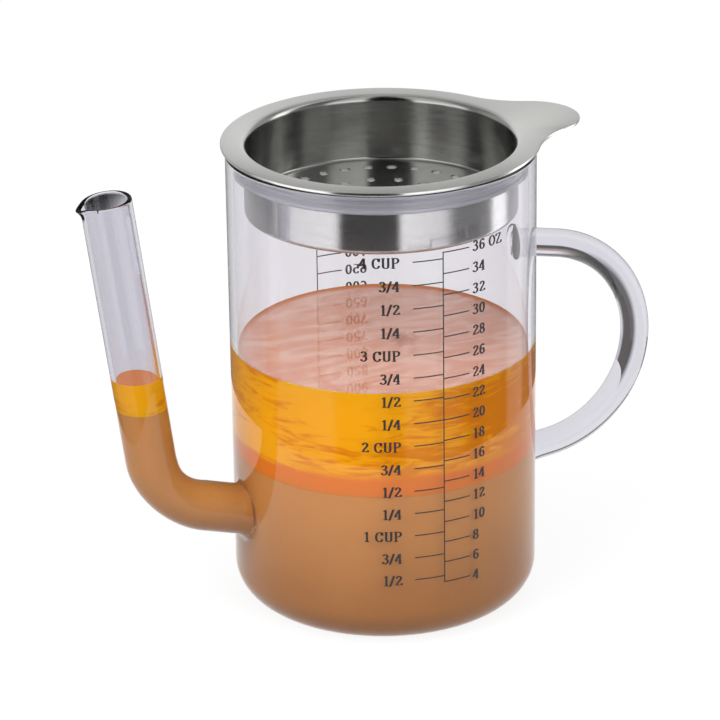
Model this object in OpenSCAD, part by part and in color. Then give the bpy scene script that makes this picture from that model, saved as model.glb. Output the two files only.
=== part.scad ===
// Gravy fat separator: a glass jug with a low spout, a glass rod handle, printed measuring
// scales, a silicone seal ring and a lift-out steel strainer, shown partly filled.
// Units are millimetres. The origin is the centre of the jug's base, +Z is up, the handle
// points along +X, the spout along -X, and the cup and ounce scale faces -Y.

/* [Jug] */
// Outside diameter of the glass jug
jug_d = 104; // [96:1:120]
// Thickness of the jug's glass wall
jug_wall = 2.5; // [2:0.1:3.2]
// Height of the jug's glass rim above the base
jug_h = 161.2; // [150:1:180]
// Thickness of the jug's glass base
jug_base_t = 3; // [2.5:0.1:4]
// Outside radius of the corner between wall and base
jug_corner_r = 12; // [10:1:16]

/* [Spout] */
// Outside diameter of the spout tube
spout_d = 17.2; // [15:0.2:20]
// Thickness of the spout tube's wall
spout_wall = 1.6; // [1.2:0.1:2]
// Height of the spout's axis where it joins the jug wall
spout_join_z = 37.5; // [34:0.5:44]
// Rise of the low leg above the horizontal, in degrees
spout_rise = 16; // [8:1:22]
// Length of the low leg between the jug wall and the bend
spout_leg = 15.4; // [13:0.2:20]
// Radius of the bend, at the tube's axis
spout_bend_r = 25; // [20:1:30]
// Lean of the tall leg away from the jug, in degrees from the vertical
spout_lean = 7.4; // [3:0.2:10]
// Height of the jug's rim above the centre of the spout's mouth
spout_drop = 5; // [2:0.1:14]
// Width of the flare where the spout and the jug meet
spout_flare = 4; // [2:0.5:5]
// Reach of the pouring lip beyond the outside of the tube
lip_reach = 2.4; // [1.5:0.1:4]
// Outside diameter of the pouring lip's channel
lip_d = 8.8; // [7:0.2:10]
// Rise of the pouring lip above the plane of the mouth, in degrees
lip_rise = 10; // [0:1:20]

/* [Handle] */
// Diameter of the glass rod that makes the handle
handle_d = 9.8; // [8:0.2:12]
// Height of the rod's axis where its top joins the jug wall
handle_top_z = 118.8; // [112:0.2:124]
// Distance from the jug's wall to the rod's axis at its widest
handle_reach = 43.2; // [38:0.2:48]
// Radius of the handle's bend, at the rod's axis
handle_bend_r = 37.5; // [34:0.5:38]
// Fall of the handle's top leg away from the jug, in degrees
handle_top_fall = 11; // [6:1:14]
// Rise of the handle's low leg away from the jug, in degrees
handle_low_rise = 7; // [3:1:12]
// Width of the flare where the handle and the jug meet
handle_flare = 1.6; // [1:0.2:3]

/* [Strainer] */
// Thickness of the strainer's steel sheet
sheet_t = 1; // [0.8:0.1:1.2]
// Overhang of the strainer's flat rim beyond the jug's wall
rim_overhang = 1.5; // [0.5:0.1:4]
// Space between the jug's bore and the strainer's cup, which the seal ring fills
cup_gap = 3.6; // [3.4:0.1:5]
// Depth of the strainer, from the rim's top to the underside of its floor
cup_depth = 24; // [18:0.2:30]
// Outside radius of the corner between the cup's wall and its floor
cup_corner_r = 2; // [1.5:0.1:4]
// Inside radius of the bend between the rim's underside and the cup's wall
shoulder_r = 1.4; // [1:0.1:1.8]
// Length of the thumb tab beyond the rim
tab_length = 18; // [13:0.5:22]
// Radius of the thumb tab's round end
tab_end_r = 16.5; // [14:0.5:18]
// Radius of the hollow curves that lead from the rim into the tab
tab_blend_r = 32; // [24:1:36]
// Diameter of one drain hole
hole_d = 3; // [2:0.1:4]
// Distance from the cup's outside to the outer ring of drain holes
hole_edge = 9.6; // [7:0.2:12]
// Distance from one ring of drain holes to the next
hole_ring_step = 12.3; // [10:0.1:13]
// Number of holes in the outer ring
outer_hole_n = 28; // [16:1:30]
// Number of holes in the middle ring
middle_hole_n = 16; // [8:1:18]
// Number of holes in the inner ring
inner_hole_n = 6; // [4:1:8]

/* [Seal ring] */
// Thickness of the silicone flange between the glass rim and the steel rim
flange_t = 1; // [0.8:0.1:2]
// Distance from the jug's outside wall in to the edge of the silicone flange
flange_inset = 0.5; // [0.1:0.1:1.5]
// Reach of the sealing ribs beyond the sleeve
rib_reach = 1; // [0.6:0.1:1.5]
// Height of the sleeve below the flange
sleeve_h = 6.9; // [6.6:0.1:12]
// Height of one sealing rib
rib_h = 1.6; // [1:0.1:2]
// Number of sealing ribs
rib_n = 2; // [1:1:3]
// Distance between one sealing rib and the next
rib_pitch = 2.6; // [2.2:0.1:5]

/* [Printed scales] */
// Thickness of the printed ink
ink_t = 0.1; // [0.05:0.01:0.2]
// Width of a printed line
line_w = 0.4; // [0.3:0.05:0.6]
// Height of the 4 ounce mark above the base
mark_4oz_z = 22.9; // [18:0.1:26]
// Height by which the cup marks are printed above the ounce marks of the same volume
cup_lift = 0.8; // [0:0.1:2]
// Height by which the millilitre marks are printed above the ounce marks of the same volume
ml_lift = 5.4; // [0:0.1:8]
// Length of an ounce mark, in degrees round the jug
oz_mark_a = 10.6; // [6:0.2:14]
// Length of a cup mark, in degrees round the jug
cup_mark_a = 11.4; // [6:0.2:14]
// Length of a millilitre mark, in degrees round the jug
ml_mark_a = 10.6; // [6:0.2:14]
// Place of the millilitre scale's upright line, in degrees round the jug from +X
ml_line_a = 94.6; // [86:0.2:100]

/* [Contents] */
// Height of the top of the gravy in the jug
gravy_z = 55.1; // [48:0.5:70]
// Height of the top of the fat, in the jug and in the spout
fat_z = 92.5; // [88:0.5:110]
// Height of the top of the gravy in the spout
spout_gravy_z = 81; // [76:0.5:84]
// Clearance between the contents and the glass
fill_gap = 0.1; // [0.05:0.05:0.3]

/* [Fit] */
// Clearance between the seal ring and its neighbours
seal_gap = 0.3; // [0.2:0.05:0.4]
// Gap between a printed mark and the upright line beside it
print_gap = 0.05; // [0.02:0.01:0.1]
// Clearance between the glass rim and the silicone flange
seat_gap = 0.2; // [0.1:0.05:0.4]

/* [Hidden] */

round_fn = 96;
$fn = round_fn;
overrun = 1;

// A bend is stouter than its legs by bend_ease, and each leg runs into it by leg_overlap
bend_ease = 0.02;
leg_overlap = 0.5;
// The strainer's bend reaches into its flat rim by rim_lap
rim_lap = 1;

// Jug
jug_r = jug_d / 2;
bore_r = jug_r - jug_wall;
inner_corner_r = jug_corner_r - jug_wall;

// Spout: P0 on the jug wall, P1 at the start of the bend, P2 at its end, P3 at the mouth
spout_r = spout_d / 2;
spout_bore_r = spout_r - spout_wall;
spout_up_a = 90 - spout_lean;
function leg_dir(a) = [-cos(a), 0, sin(a)];
function leg_normal(a) = [sin(a), 0, cos(a)];
P0 = [-jug_r, 0, spout_join_z];
P1 = P0 + spout_leg * leg_dir(spout_rise);
bend_centre = P1 + spout_bend_r * leg_normal(spout_rise);
P2 = bend_centre - spout_bend_r * leg_normal(spout_up_a);
spout_tall = (jug_h - spout_drop - P2[2]) / sin(spout_up_a);
P3 = P2 + spout_tall * leg_dir(spout_up_a);
lip_a = spout_up_a - 90 + lip_rise;
lip_drop = spout_r * tan(lip_rise);

// Handle: the arc's centre, and the height where the low leg meets the jug wall
handle_r = handle_d / 2;
handle_cx = jug_r + handle_reach - handle_bend_r;
handle_top_x = handle_cx + handle_bend_r * sin(handle_top_fall);
handle_cz = handle_top_z - (handle_top_x - jug_r) * tan(handle_top_fall)
    - handle_bend_r * cos(handle_top_fall);
handle_low_x = handle_cx + handle_bend_r * sin(handle_low_rise);
handle_low_z = handle_cz - handle_bend_r * cos(handle_low_rise)
    - (handle_low_x - jug_r) * tan(handle_low_rise);

// Strainer and seal ring, stacked on the glass rim
flange_z = jug_h + seat_gap;
rim_z = flange_z + flange_t;
rim_top_z = rim_z + sheet_t;
rim_r = jug_r + rim_overhang;
cup_r = bore_r - cup_gap;
shoulder_x = cup_r + shoulder_r;
shoulder_z = rim_z - shoulder_r;
sleeve_bottom_z = flange_z - sleeve_h;
// Depth of the strainer's floor below the underside of its rim
cup_floor_depth = cup_depth - sheet_t;

// Drain holes: the count in each ring, from the outside in, and where the ring starts
HOLE_COUNTS = [outer_hole_n, middle_hole_n, inner_hole_n];
HOLE_STARTS = [10.3, 8.4, 0];

// Scales, in imperial ounces and in cups of 250 ml: height grows with volume by the bore's area
OZ = 28.413;
CUP = 250;
ML_STEP = 50;
ml_per_mm = PI * bore_r * bore_r / 1000;
OZ_FIRST = 4;
OZ_LAST = 36;
OZ_STEP = 2;
CUP_FIRST = 0.5;
CUP_LAST = 4;
CUP_STEP = 0.25;
ML_FIRST = 100;
ML_LAST = 1000;
function oz_z(oz) = mark_4oz_z + (oz - OZ_FIRST) * OZ / ml_per_mm;
function cup_z(cup) = oz_z(cup * CUP / OZ) + cup_lift;
function ml_z(ml) = oz_z(ml / OZ) + ml_lift;

// Width of a printed line in degrees, and where a mark starts beside the upright line
line_a = line_w / jug_r * 180 / PI;
mark_start_a = (line_w / 2 + print_gap) / jug_r * 180 / PI;

// A cylinder from point p along direction d, for a length
module rod(p, d, r, length) {
    polar = acos(d[2]);
    azimuth = atan2(d[1], d[0]);
    translate(p) rotate([0, polar, azimuth]) cylinder(r = r, h = length);
}

// Outline of a round pot: radius r from z0 to z1, its bottom corner rounded by c
module pot_outline(r, c, z0, z1) {
    translate([0, z0]) square([r - c, z1 - z0]);
    translate([0, z0 + c]) square([r, z1 - z0 - c]);
    translate([r - c, z0 + c]) circle(r = c);
}

module pot(r, c, z0, z1) {
    rotate_extrude() pot_outline(r, c, z0, z1);
}

// A flare of width f, square to the jug wall, round the foot of a rod of radius r that leaves
// the wall at height z and climbs by a degrees; side is 1 for +X and -1 for -X
module flare(side, z, a, r, f) {
    neck = 3 * f;
    profile = [[0, -f], [r + 2 * f, -f], [r + f, 0], [r + 0.4 * f, f], [r - 0.6 * f, neck], [0, neck]];
    translate([side * jug_r, 0, z + neck / 2 * tan(a)]) rotate([0, side * 90, 0])
        rotate_extrude() polygon(profile);
}

// A bend of radius bend_r round a centre in the XZ plane, for a rod of radius r; a0 is the
// direction of its first end as seen from the centre, above +X and on towards +Z
module bend(centre, bend_r, r, a0, sweep) {
    translate(centre) rotate([90, 0, 0]) rotate([0, 0, a0])
        rotate_extrude(angle = sweep) translate([bend_r, 0]) circle(r = r + bend_ease);
}

// The spout's path filled to radius r; extra lengthens it past the jug wall and the mouth
module spout_path(r, extra_in, extra_out) {
    low = leg_dir(spout_rise);
    tall = leg_dir(spout_up_a);
    rod(P1 + leg_overlap * low, -low, r, spout_leg + leg_overlap + extra_in);
    rod(P2 - leg_overlap * tall, tall, r, spout_tall + leg_overlap + extra_out);
    bend(bend_centre, spout_bend_r, r, 180 + spout_lean, spout_up_a - spout_rise);
}

// Everything above the spout's mouth
module above_mouth() {
    translate(P3) rotate([0, -spout_lean, 0]) translate([0, 0, jug_r]) cube(2 * jug_r, center = true);
}

module jug_bore() {
    pot(bore_r, inner_corner_r, jug_base_t, jug_h + overrun);
}

module glass_jug() {
    color("lavender", 0.4) difference() {
        union() {
            pot(jug_r, jug_corner_r, 0, jug_h - jug_wall / 2);
            rotate_extrude() translate([jug_r - jug_wall / 2, jug_h - jug_wall / 2])
                circle(d = jug_wall);
        }
        jug_bore();
        rod(P0 - jug_r / 2 * leg_dir(spout_rise), leg_dir(spout_rise), spout_bore_r, jug_r);
    }
}

// The pouring lip: a short channel whose axis crosses the mouth's edge
module lip(r, extra) {
    start = P3 - lip_drop * leg_dir(spout_up_a);
    rod(start, leg_dir(lip_a), r, (spout_r + lip_reach) / cos(lip_rise) + extra);
}

module spout_tube() {
    color("lavender", 0.4) difference() {
        union() {
            spout_path(spout_r, jug_wall, 0);
            flare(-1, spout_join_z, spout_rise, spout_r, spout_flare);
            lip(lip_d / 2, 0);
        }
        spout_path(spout_bore_r, jug_r, overrun);
        lip(lip_d / 2 - spout_wall, overrun);
        above_mouth();
        cylinder(r = jug_r, h = jug_h);
    }
}

module handle_rod() {
    top_dir = [cos(handle_top_fall), 0, -sin(handle_top_fall)];
    low_dir = [cos(handle_low_rise), 0, sin(handle_low_rise)];
    top_wall = [jug_r, 0, handle_top_z];
    low_wall = [jug_r, 0, handle_low_z];
    top_leg = (handle_top_x - jug_r) / cos(handle_top_fall);
    low_leg = (handle_low_x - jug_r) / cos(handle_low_rise);
    color("lavender", 0.4) difference() {
        union() {
            rod(top_wall - jug_wall * top_dir, top_dir, handle_r, top_leg + jug_wall + leg_overlap);
            rod(low_wall - jug_wall * low_dir, low_dir, handle_r, low_leg + jug_wall + leg_overlap);
            flare(1, handle_top_z, -handle_top_fall, handle_r, handle_flare);
            flare(1, handle_low_z, handle_low_rise, handle_r, handle_flare);
            bend([handle_cx, 0, handle_cz], handle_bend_r, handle_r,
                handle_low_rise - 90, 180 - handle_low_rise - handle_top_fall);
        }
        cylinder(r = jug_r, h = jug_h);
    }
}

// A printed band on the jug's outside, from angle a0 over a span, between two heights
module print_band(a0, span, z0, z1) {
    rotate([0, 0, a0]) rotate_extrude(angle = span)
        translate([jug_r, z0]) square([ink_t, z1 - z0]);
}

// A mark beside the upright line at angle a: side is 1 for a mark that runs anticlockwise from
// it, as seen from above, and -1 for clockwise
module mark(a, side, span, z) {
    start = side > 0 ? a + mark_start_a : a - span;
    print_band(start, span - mark_start_a, z - line_w / 2, z + line_w / 2);
}

// A printed upright line centred on angle a
module upright(a, z0, z1) {
    print_band(a - line_a / 2, line_a, z0 - line_w / 2, z1 + line_w / 2);
}

module cup_oz_scale() {
    front_a = 270;
    color("black") {
        upright(front_a, oz_z(OZ_FIRST), oz_z(OZ_LAST));
        for (oz = [OZ_FIRST : OZ_STEP : OZ_LAST]) mark(front_a, 1, oz_mark_a, oz_z(oz));
        for (cup = [CUP_FIRST : CUP_STEP : CUP_LAST]) mark(front_a, -1, cup_mark_a, cup_z(cup));
    }
}

module ml_scale() {
    color("black") {
        upright(ml_line_a, ml_z(ML_FIRST), ml_z(ML_LAST));
        for (ml = [ML_FIRST : ML_STEP : ML_LAST]) mark(ml_line_a, -1, ml_mark_a, ml_z(ml));
    }
}

// The ring's section: sleeve, hollow shoulder that clears the strainer's bend, flange and ribs
module seal_ring() {
    sleeve_in_r = cup_r + seal_gap;
    rib_r = bore_r - seal_gap;
    sleeve_out_r = rib_r - rib_reach;
    color("ghostwhite", 0.6) rotate_extrude() {
        translate([sleeve_in_r, sleeve_bottom_z])
            square([sleeve_out_r - sleeve_in_r, shoulder_z - sleeve_bottom_z]);
        intersection() {
            translate([shoulder_x, shoulder_z]) circle(r = shoulder_r - seal_gap);
            translate([sleeve_in_r, shoulder_z])
                square([sleeve_out_r - sleeve_in_r, flange_z + flange_t - shoulder_z]);
        }
        translate([shoulder_x, shoulder_z])
            square([sleeve_out_r - shoulder_x, flange_z + flange_t - shoulder_z]);
        translate([shoulder_x, flange_z]) square([jug_r - flange_inset - shoulder_x, flange_t]);
        for (i = [0 : rib_n - 1])
            translate([sleeve_in_r, sleeve_bottom_z + i * rib_pitch])
                square([rib_r - sleeve_in_r, rib_h]);
    }
}

// Plan of the strainer's rim with its thumb tab, its curves tangent to each other
module rim_plan() {
    tab_x = rim_r + tab_length - tab_end_r;
    far = rim_r + tab_blend_r;
    near = tab_end_r + tab_blend_r;
    blend_x = (far * far - near * near + tab_x * tab_x) / (2 * tab_x);
    blend_y = sqrt(far * far - blend_x * blend_x);
    circle(r = rim_r);
    translate([tab_x, 0]) circle(r = tab_end_r);
    difference() {
        polygon([[0, 0], [blend_x, blend_y], [tab_x, 0], [blend_x, -blend_y]]);
        translate([blend_x, blend_y]) circle(r = tab_blend_r);
        translate([blend_x, -blend_y]) circle(r = tab_blend_r);
    }
}

// The drain holes, in rings; z = 0 is the underside of the strainer's rim
module drain_holes() {
    for (ring = [0 : len(HOLE_COUNTS) - 1], i = [1 : HOLE_COUNTS[ring]])
        rotate([0, 0, HOLE_STARTS[ring] + i * 360 / HOLE_COUNTS[ring]])
            translate([cup_r - hole_edge - ring * hole_ring_step, 0, -cup_floor_depth - overrun])
                cylinder(d = hole_d, h = sheet_t + 2 * overrun);
}

module strainer() {
    wall_in_r = cup_r - sheet_t;
    floor_in_r = cup_corner_r - sheet_t;
    color("silver") translate([0, 0, rim_z]) difference() {
        union() {
            linear_extrude(sheet_t) difference() {
                rim_plan();
                circle(r = shoulder_x);
            }
            rotate_extrude() {
                translate([shoulder_x, 0]) square([rim_lap, sheet_t]);
                intersection() {
                    translate([0, -shoulder_r]) square([shoulder_x, shoulder_r + sheet_t]);
                    difference() {
                        translate([shoulder_x, -shoulder_r]) circle(r = shoulder_r + sheet_t);
                        translate([shoulder_x, -shoulder_r]) circle(r = shoulder_r);
                    }
                }
                difference() {
                    pot_outline(cup_r, cup_corner_r, -cup_floor_depth, -shoulder_r);
                    pot_outline(wall_in_r, floor_in_r, sheet_t - cup_floor_depth, overrun - shoulder_r);
                }
            }
        }
        drain_holes();
    }
}

// The jug's inside, less the fill gap, between two heights
module jug_fill(z0, z1) {
    intersection() {
        pot(bore_r - fill_gap, inner_corner_r - fill_gap, jug_base_t + fill_gap, fat_z);
        translate([0, 0, z0]) cylinder(r = jug_r, h = z1 - z0);
    }
}

// The spout's inside, less the fill gap, between two heights
module spout_fill(z0, z1) {
    depth = jug_d;
    difference() {
        intersection() {
            spout_path(spout_bore_r - fill_gap, jug_wall, 0);
            translate([P3[0] - jug_r, -depth / 2, z0]) cube([2 * jug_r, depth, z1 - z0]);
        }
        cylinder(r = bore_r, h = jug_h);
    }
}

module jug_gravy() {
    color("peru") jug_fill(jug_base_t, gravy_z);
}

module jug_fat() {
    color("orange", 0.8) jug_fill(gravy_z, fat_z);
}

module spout_gravy() {
    color("peru") spout_fill(0, spout_gravy_z);
}

module spout_fat() {
    color("orange", 0.8) spout_fill(spout_gravy_z, fat_z);
}

glass_jug();
spout_tube();
handle_rod();
cup_oz_scale();
ml_scale();
seal_ring();
strainer();
jug_gravy();
jug_fat();
spout_gravy();
spout_fat();
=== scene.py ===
"""Looks for a gravy fat separator: glass jug with a low spout and a rod handle, printed scales,
a silicone seal, a brushed steel strainer, and gravy with a layer of fat on it."""

import math

import bmesh
import bpy
from mathutils import Matrix, Vector


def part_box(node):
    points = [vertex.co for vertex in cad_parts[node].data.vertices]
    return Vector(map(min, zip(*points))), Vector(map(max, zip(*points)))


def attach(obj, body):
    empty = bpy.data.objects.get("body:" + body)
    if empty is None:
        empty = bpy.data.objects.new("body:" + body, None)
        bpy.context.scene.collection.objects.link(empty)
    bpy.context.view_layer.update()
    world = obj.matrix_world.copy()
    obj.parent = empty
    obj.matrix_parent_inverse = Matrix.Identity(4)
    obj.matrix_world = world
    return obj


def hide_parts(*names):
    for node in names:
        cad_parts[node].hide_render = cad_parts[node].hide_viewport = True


bl_info = {
    "name": "Gravy Fat Separator",
    "version": (1, 0, 0),
    "blender": (4, 5, 0),
    "location": "View3D > Sidebar > Separator",
    "description": "Builds the glass, steel, silicone, print and contents of a gravy fat separator",
    "category": "Object",
}

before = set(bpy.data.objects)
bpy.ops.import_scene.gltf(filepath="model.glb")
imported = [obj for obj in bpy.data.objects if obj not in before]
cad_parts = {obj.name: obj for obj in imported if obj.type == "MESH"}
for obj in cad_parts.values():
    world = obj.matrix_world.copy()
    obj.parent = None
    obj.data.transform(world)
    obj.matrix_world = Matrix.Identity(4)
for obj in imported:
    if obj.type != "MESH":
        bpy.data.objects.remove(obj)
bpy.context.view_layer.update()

MM = 0.001
JUG_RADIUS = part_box("glass_jug")[1].x
JUG_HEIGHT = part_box("glass_jug")[1].z
RIM_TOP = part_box("strainer")[1].z
CUP_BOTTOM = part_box("strainer")[0].z
GRAVY_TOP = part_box("jug_gravy")[1].z
FAT_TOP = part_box("jug_fat")[1].z
SPOUT_GRAVY_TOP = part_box("spout_gravy")[1].z
JUG_MIDDLE = 80 * MM          # height that the camera and the lamps aim at
FUSED_DEPTH = 0.7 * MM        # reach of the spout and the handle into the jug's wall
ROD_START = 3 * MM            # where the rod's axis starts inside the wall, before it is cut
LIP_LENGTH = 6 * MM           # length of tube that the pouring lip is drawn from
LIP_DIP = 0.9 * MM            # drop of the pouring lip below the mouth
LAYER_GAP = 0.02 * MM         # between the gravy and the fat
PAPER_DEPTH = 0.2 * MM        # of the floor below the base
IMPERIAL_OUNCE = 28.413e-6    # in cubic metres, as is the millilitre
MILLILITRE = 1e-6
QUARTER_CUP = 62.5            # in millilitres
FRONT = -math.pi / 2          # bearing of the ounce and cup scales
PICTURE = 720                 # side of the picture in pixels
SIGHT = (383.12, 370.08)      # the pixel on which the jug's middle falls
SENSOR = 36.0                 # width of the camera's sensor in millimetres
# facets round the turned, swept and drilled forms
JUG_SIDES = 192
ROUND_SIDES = 160
TUBE_SIDES = 72
COLUMN_SIDES = 64
CARD_SIDES = 96
HOLE_SIDES = 24


def linear(code):
    """Turns an sRGB hex code into linear red, green, blue and alpha."""
    parts = [int(code[i:i + 2], 16) / 255 for i in (1, 3, 5)]
    return tuple(p / 12.92 if p <= 0.04045 else ((p + 0.055) / 1.055) ** 2.4 for p in parts) + (1.0,)


def length(name, text, default, high=0.5):
    return bpy.props.FloatProperty(
        name=name, description=text, default=default, min=0.0, max=high, unit="LENGTH", precision=4)


def angle(name, text, degrees):
    return bpy.props.FloatProperty(
        name=name, description=text, default=math.radians(degrees), subtype="ANGLE")


def colour(name, text, code):
    return bpy.props.FloatVectorProperty(
        name=name, description=text, default=linear(code), size=4, min=0.0, max=1.0, subtype="COLOR")


def count(name, text, default):
    return bpy.props.IntProperty(name=name, description=text, default=default, min=0)


# ---------------------------------------------------------------- sizes and colours

class JugSizes(bpy.types.PropertyGroup):
    radius: length("Radius", "Outside radius of the jug", JUG_RADIUS)
    wall: length("Wall", "Thickness of the blown wall", 2.5 * MM)
    height: length("Height", "Height of the glass rim", JUG_HEIGHT)
    base: length("Base", "Thickness of the base", 3 * MM)
    corner: length("Corner", "Outside radius of the bottom corner", 12 * MM)
    bead: length("Bead", "Radius of the fire-polished rim", 1.25 * MM)
    push_up: length("Push-up", "Height of the hollow under the base", 0.8 * MM)


class SpoutSizes(bpy.types.PropertyGroup):
    radius: length("Radius", "Outside radius of the tube", 8.6 * MM)
    wall: length("Wall", "Thickness of the tube's wall", 1.6 * MM)
    join_height: length("Joint height", "Height of the tube's axis at the jug wall", 37.5 * MM)
    leg: length("Low leg", "Length of the leg between the wall and the bend", 15.4 * MM)
    bend_radius: length("Bend", "Radius of the bend at the tube's axis", 25 * MM)
    rise: angle("Rise", "Rise of the low leg", 16)
    lean: angle("Lean", "Lean of the tall leg away from the jug", 7.4)
    drop: length("Drop", "Height of the jug's rim above the mouth", 5 * MM)
    fillet: length("Fillet", "Radius of the blown joint with the jug", 4 * MM)
    lip: length("Lip", "Reach of the pouring lip beyond the tube", 2.3 * MM)
    flat: bpy.props.FloatProperty(
        name="Flattening", description="Share by which the bend is flattened", default=0.07,
        subtype="FACTOR")


class HandleSizes(bpy.types.PropertyGroup):
    radius: length("Radius", "Radius of the glass rod", 4.9 * MM)
    top: length("Top", "Height of the rod's upper joint", 118.8 * MM)
    reach: length("Reach", "Distance from the jug wall to the rod's axis", 43.2 * MM)
    bend_radius: length("Bend", "Radius of the bend at the rod's axis", 37.5 * MM)
    top_fall: angle("Top fall", "Fall of the upper leg away from the jug", 11)
    low_rise: angle("Low rise", "Rise of the lower leg away from the jug", 7)
    weld: length("Weld", "Width of the melted collar at each joint", 1.6 * MM)
    sides: count("Sides", "Facets round the rod", 40)


class StrainerSizes(bpy.types.PropertyGroup):
    sheet: length("Sheet", "Thickness of the steel sheet", 1 * MM)
    rim_radius: length("Rim", "Radius of the flat rim", 53.5 * MM)
    cup_radius: length("Cup", "Outside radius of the cup", 45.9 * MM)
    corner: length("Corner", "Outside radius between the cup's wall and floor", 2 * MM)
    shoulder: length("Shoulder", "Radius of the bend under the rim", 1.4 * MM)
    tab: length("Tab", "Length of the thumb tab beyond the rim", 18 * MM)
    tab_end: length("Tab end", "Radius of the tab's round end", 16.5 * MM)
    tab_blend: length("Tab blend", "Radius of the hollows that lead into the tab", 32 * MM)
    edge: length("Edge", "Radius of the deburred edges", 0.25 * MM)
    hole: length("Hole", "Radius of a drain hole", 1.5 * MM)
    hole_edge: length("Hole edge", "Distance from the cup's outside to the outer holes", 9.6 * MM)
    hole_step: length("Hole step", "Distance from one ring of holes to the next", 12.3 * MM)
    outer_holes: count("Outer holes", "Holes in the outer ring", 28)
    middle_holes: count("Middle holes", "Holes in the middle ring", 16)
    inner_holes: count("Inner holes", "Holes in the inner ring", 6)
    sink: length("Countersink", "Width of the bright bevel round a drain hole", 0.35 * MM)


class SealSizes(bpy.types.PropertyGroup):
    inner: length("Bore", "Radius of the ring's bore round the cup", 46.2 * MM)
    sleeve: length("Sleeve", "Outside radius of the sleeve", 48.2 * MM)
    rib: length("Rib", "Outside radius of a sealing rib", 49.2 * MM)
    flange: length("Flange", "Outside radius of the flange on the glass rim", 51.5 * MM)
    top: length("Top", "Height of the flange's upper face", 162.4 * MM)
    bottom: length("Bottom", "Height of the sleeve's lower edge", 154.5 * MM)
    rib_step: length("Rib step", "Distance from one sealing rib to the next", 2.6 * MM)


class ScaleSizes(bpy.types.PropertyGroup):
    line: length("Line", "Width of a printed line", 0.4 * MM)
    ink: length("Ink", "Thickness of the fired ink", 0.05 * MM)
    figure: length("Figure height", "Height of a printed figure", 3.7 * MM)
    ounce_first: length("4 ounces", "Height of the 4 ounce mark", 22.9 * MM)
    ounce_mark: angle("Ounce mark", "Length of an ounce mark round the jug", 10.6)
    cup_mark: angle("Cup mark", "Length of a cup mark round the jug", 11.4)
    ml_mark: angle("Millilitre mark", "Length of a millilitre mark round the jug", 10.6)
    ml_bearing: angle("Millilitre line", "Place of the millilitre scale's upright line", 94.6)
    gap: length("Gap", "Space between a mark and its figures", 1.2 * MM)
    cup_gap: length("Cup gap", "Space between a cup mark and its figures", 4.2 * MM)
    cup_lift: length("Cup lift", "Rise of the cup marks over equal ounces", 0.8 * MM)
    ml_lift: length("Millilitre lift", "Rise of the millilitre marks over equal ounces", 5.4 * MM)


class FillLevels(bpy.types.PropertyGroup):
    gravy: length("Gravy", "Height of the top of the gravy", GRAVY_TOP)
    fat: length("Fat", "Height of the top of the fat", FAT_TOP)
    spout_gravy: length("Spout gravy", "Height of the gravy in the spout", SPOUT_GRAVY_TOP)
    contact: length("Contact", "Overlap of a liquid into the glass it wets", 0.06 * MM)
    meniscus: length("Meniscus", "Climb of the liquid at the glass", 0.9 * MM)


class Finishes(bpy.types.PropertyGroup):
    glass: colour("Glass", "Tint of the borosilicate glass", "#F6F5F8")
    steel: colour("Steel", "Colour of the brushed stainless steel", "#D2D2CF")
    silicone: colour("Silicone", "Colour of the clear silicone", "#F1F1F7")
    ink: colour("Ink", "Colour of the fired ink", "#1E1A19")
    gravy: colour("Gravy", "Colour of the gravy in its upper part", "#CC9050")
    # painted shade: the gravy's colour is painted darker towards the base
    gravy_low: colour("Low gravy", "Colour of the gravy near the base", "#A66B2E")
    fat: colour("Fat", "Main colour of the fat", "#E28C16")
    # painted highlight: colour of the bright ripples painted into the fat
    fat_light: colour("Light fat", "Colour of the bright ripples in the fat", "#F8B41C")
    # painted: the low band stands in for the gravy seen through the fat
    fat_low: colour("Low fat", "Colour of the fat where it meets the gravy", "#E5822E")
    fat_top: colour("Fat surface", "Colour of the fat seen from above", "#E59A76")


class StudioSettings(bpy.types.PropertyGroup):
    lens: length("Lens", "Focal length of the camera", 190.4970 * MM, high=1.0)
    azimuth: angle("Azimuth", "Direction of the camera round the jug", -22.36)
    elevation: angle("Elevation", "Height of the camera above the horizon", 22.68)
    roll: angle("Roll", "Turn of the camera about its own axis", -0.81)
    distance: length("Distance", "Distance from the camera to the jug's middle", 1.3, high=5.0)
    ambient: bpy.props.FloatProperty(
        name="Ambient", description="Brightness of the soft light from all round", default=0.75)
    drum: length("Drum", "Radius of the ring of cards round the jug", 0.2, high=2.0)


# ---------------------------------------------------------------- nodes and meshes

def add(tree, kind, inputs=None, stops=None, **settings):
    """Adds a node, sets its properties and fills or links its inputs by name or number."""
    made = tree.nodes.new(kind)
    for key, value in settings.items():
        setattr(made, key, value)
    for key, value in (inputs or {}).items():
        if isinstance(value, bpy.types.NodeSocket):
            tree.links.new(value, made.inputs[key])
        else:
            made.inputs[key].default_value = value
    for i, (place, shade) in enumerate(stops or []):
        ramp = made.color_ramp.elements
        stop = ramp[i] if i < 2 else ramp.new(place)
        stop.position = place
        stop.color = shade
    return made


def material(name):
    """A new material with an empty tree."""
    made = bpy.data.materials.new(name)
    made.use_nodes = True
    made.node_tree.nodes.clear()
    return made, made.node_tree


def grey(level):
    return (level, level, level, 1.0)


def arc(x, z, radius, start, end, steps):
    """Points of an arc in the plane of a profile, its angles in degrees."""
    turns = [math.radians(start + (end - start) * i / steps) for i in range(steps + 1)]
    return [(x + radius * math.cos(t), z + radius * math.sin(t)) for t in turns]


def bridge(bm, one, two):
    """Adds the faces between two rings of points; a ring may be a single point."""
    steps = max(len(one), len(two))
    for i in range(steps):
        j = (i + 1) % steps
        corners = [one[i % len(one)], one[j % len(one)], two[j % len(two)], two[i % len(two)]]
        bm.faces.new(list(dict.fromkeys(corners)))


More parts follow.
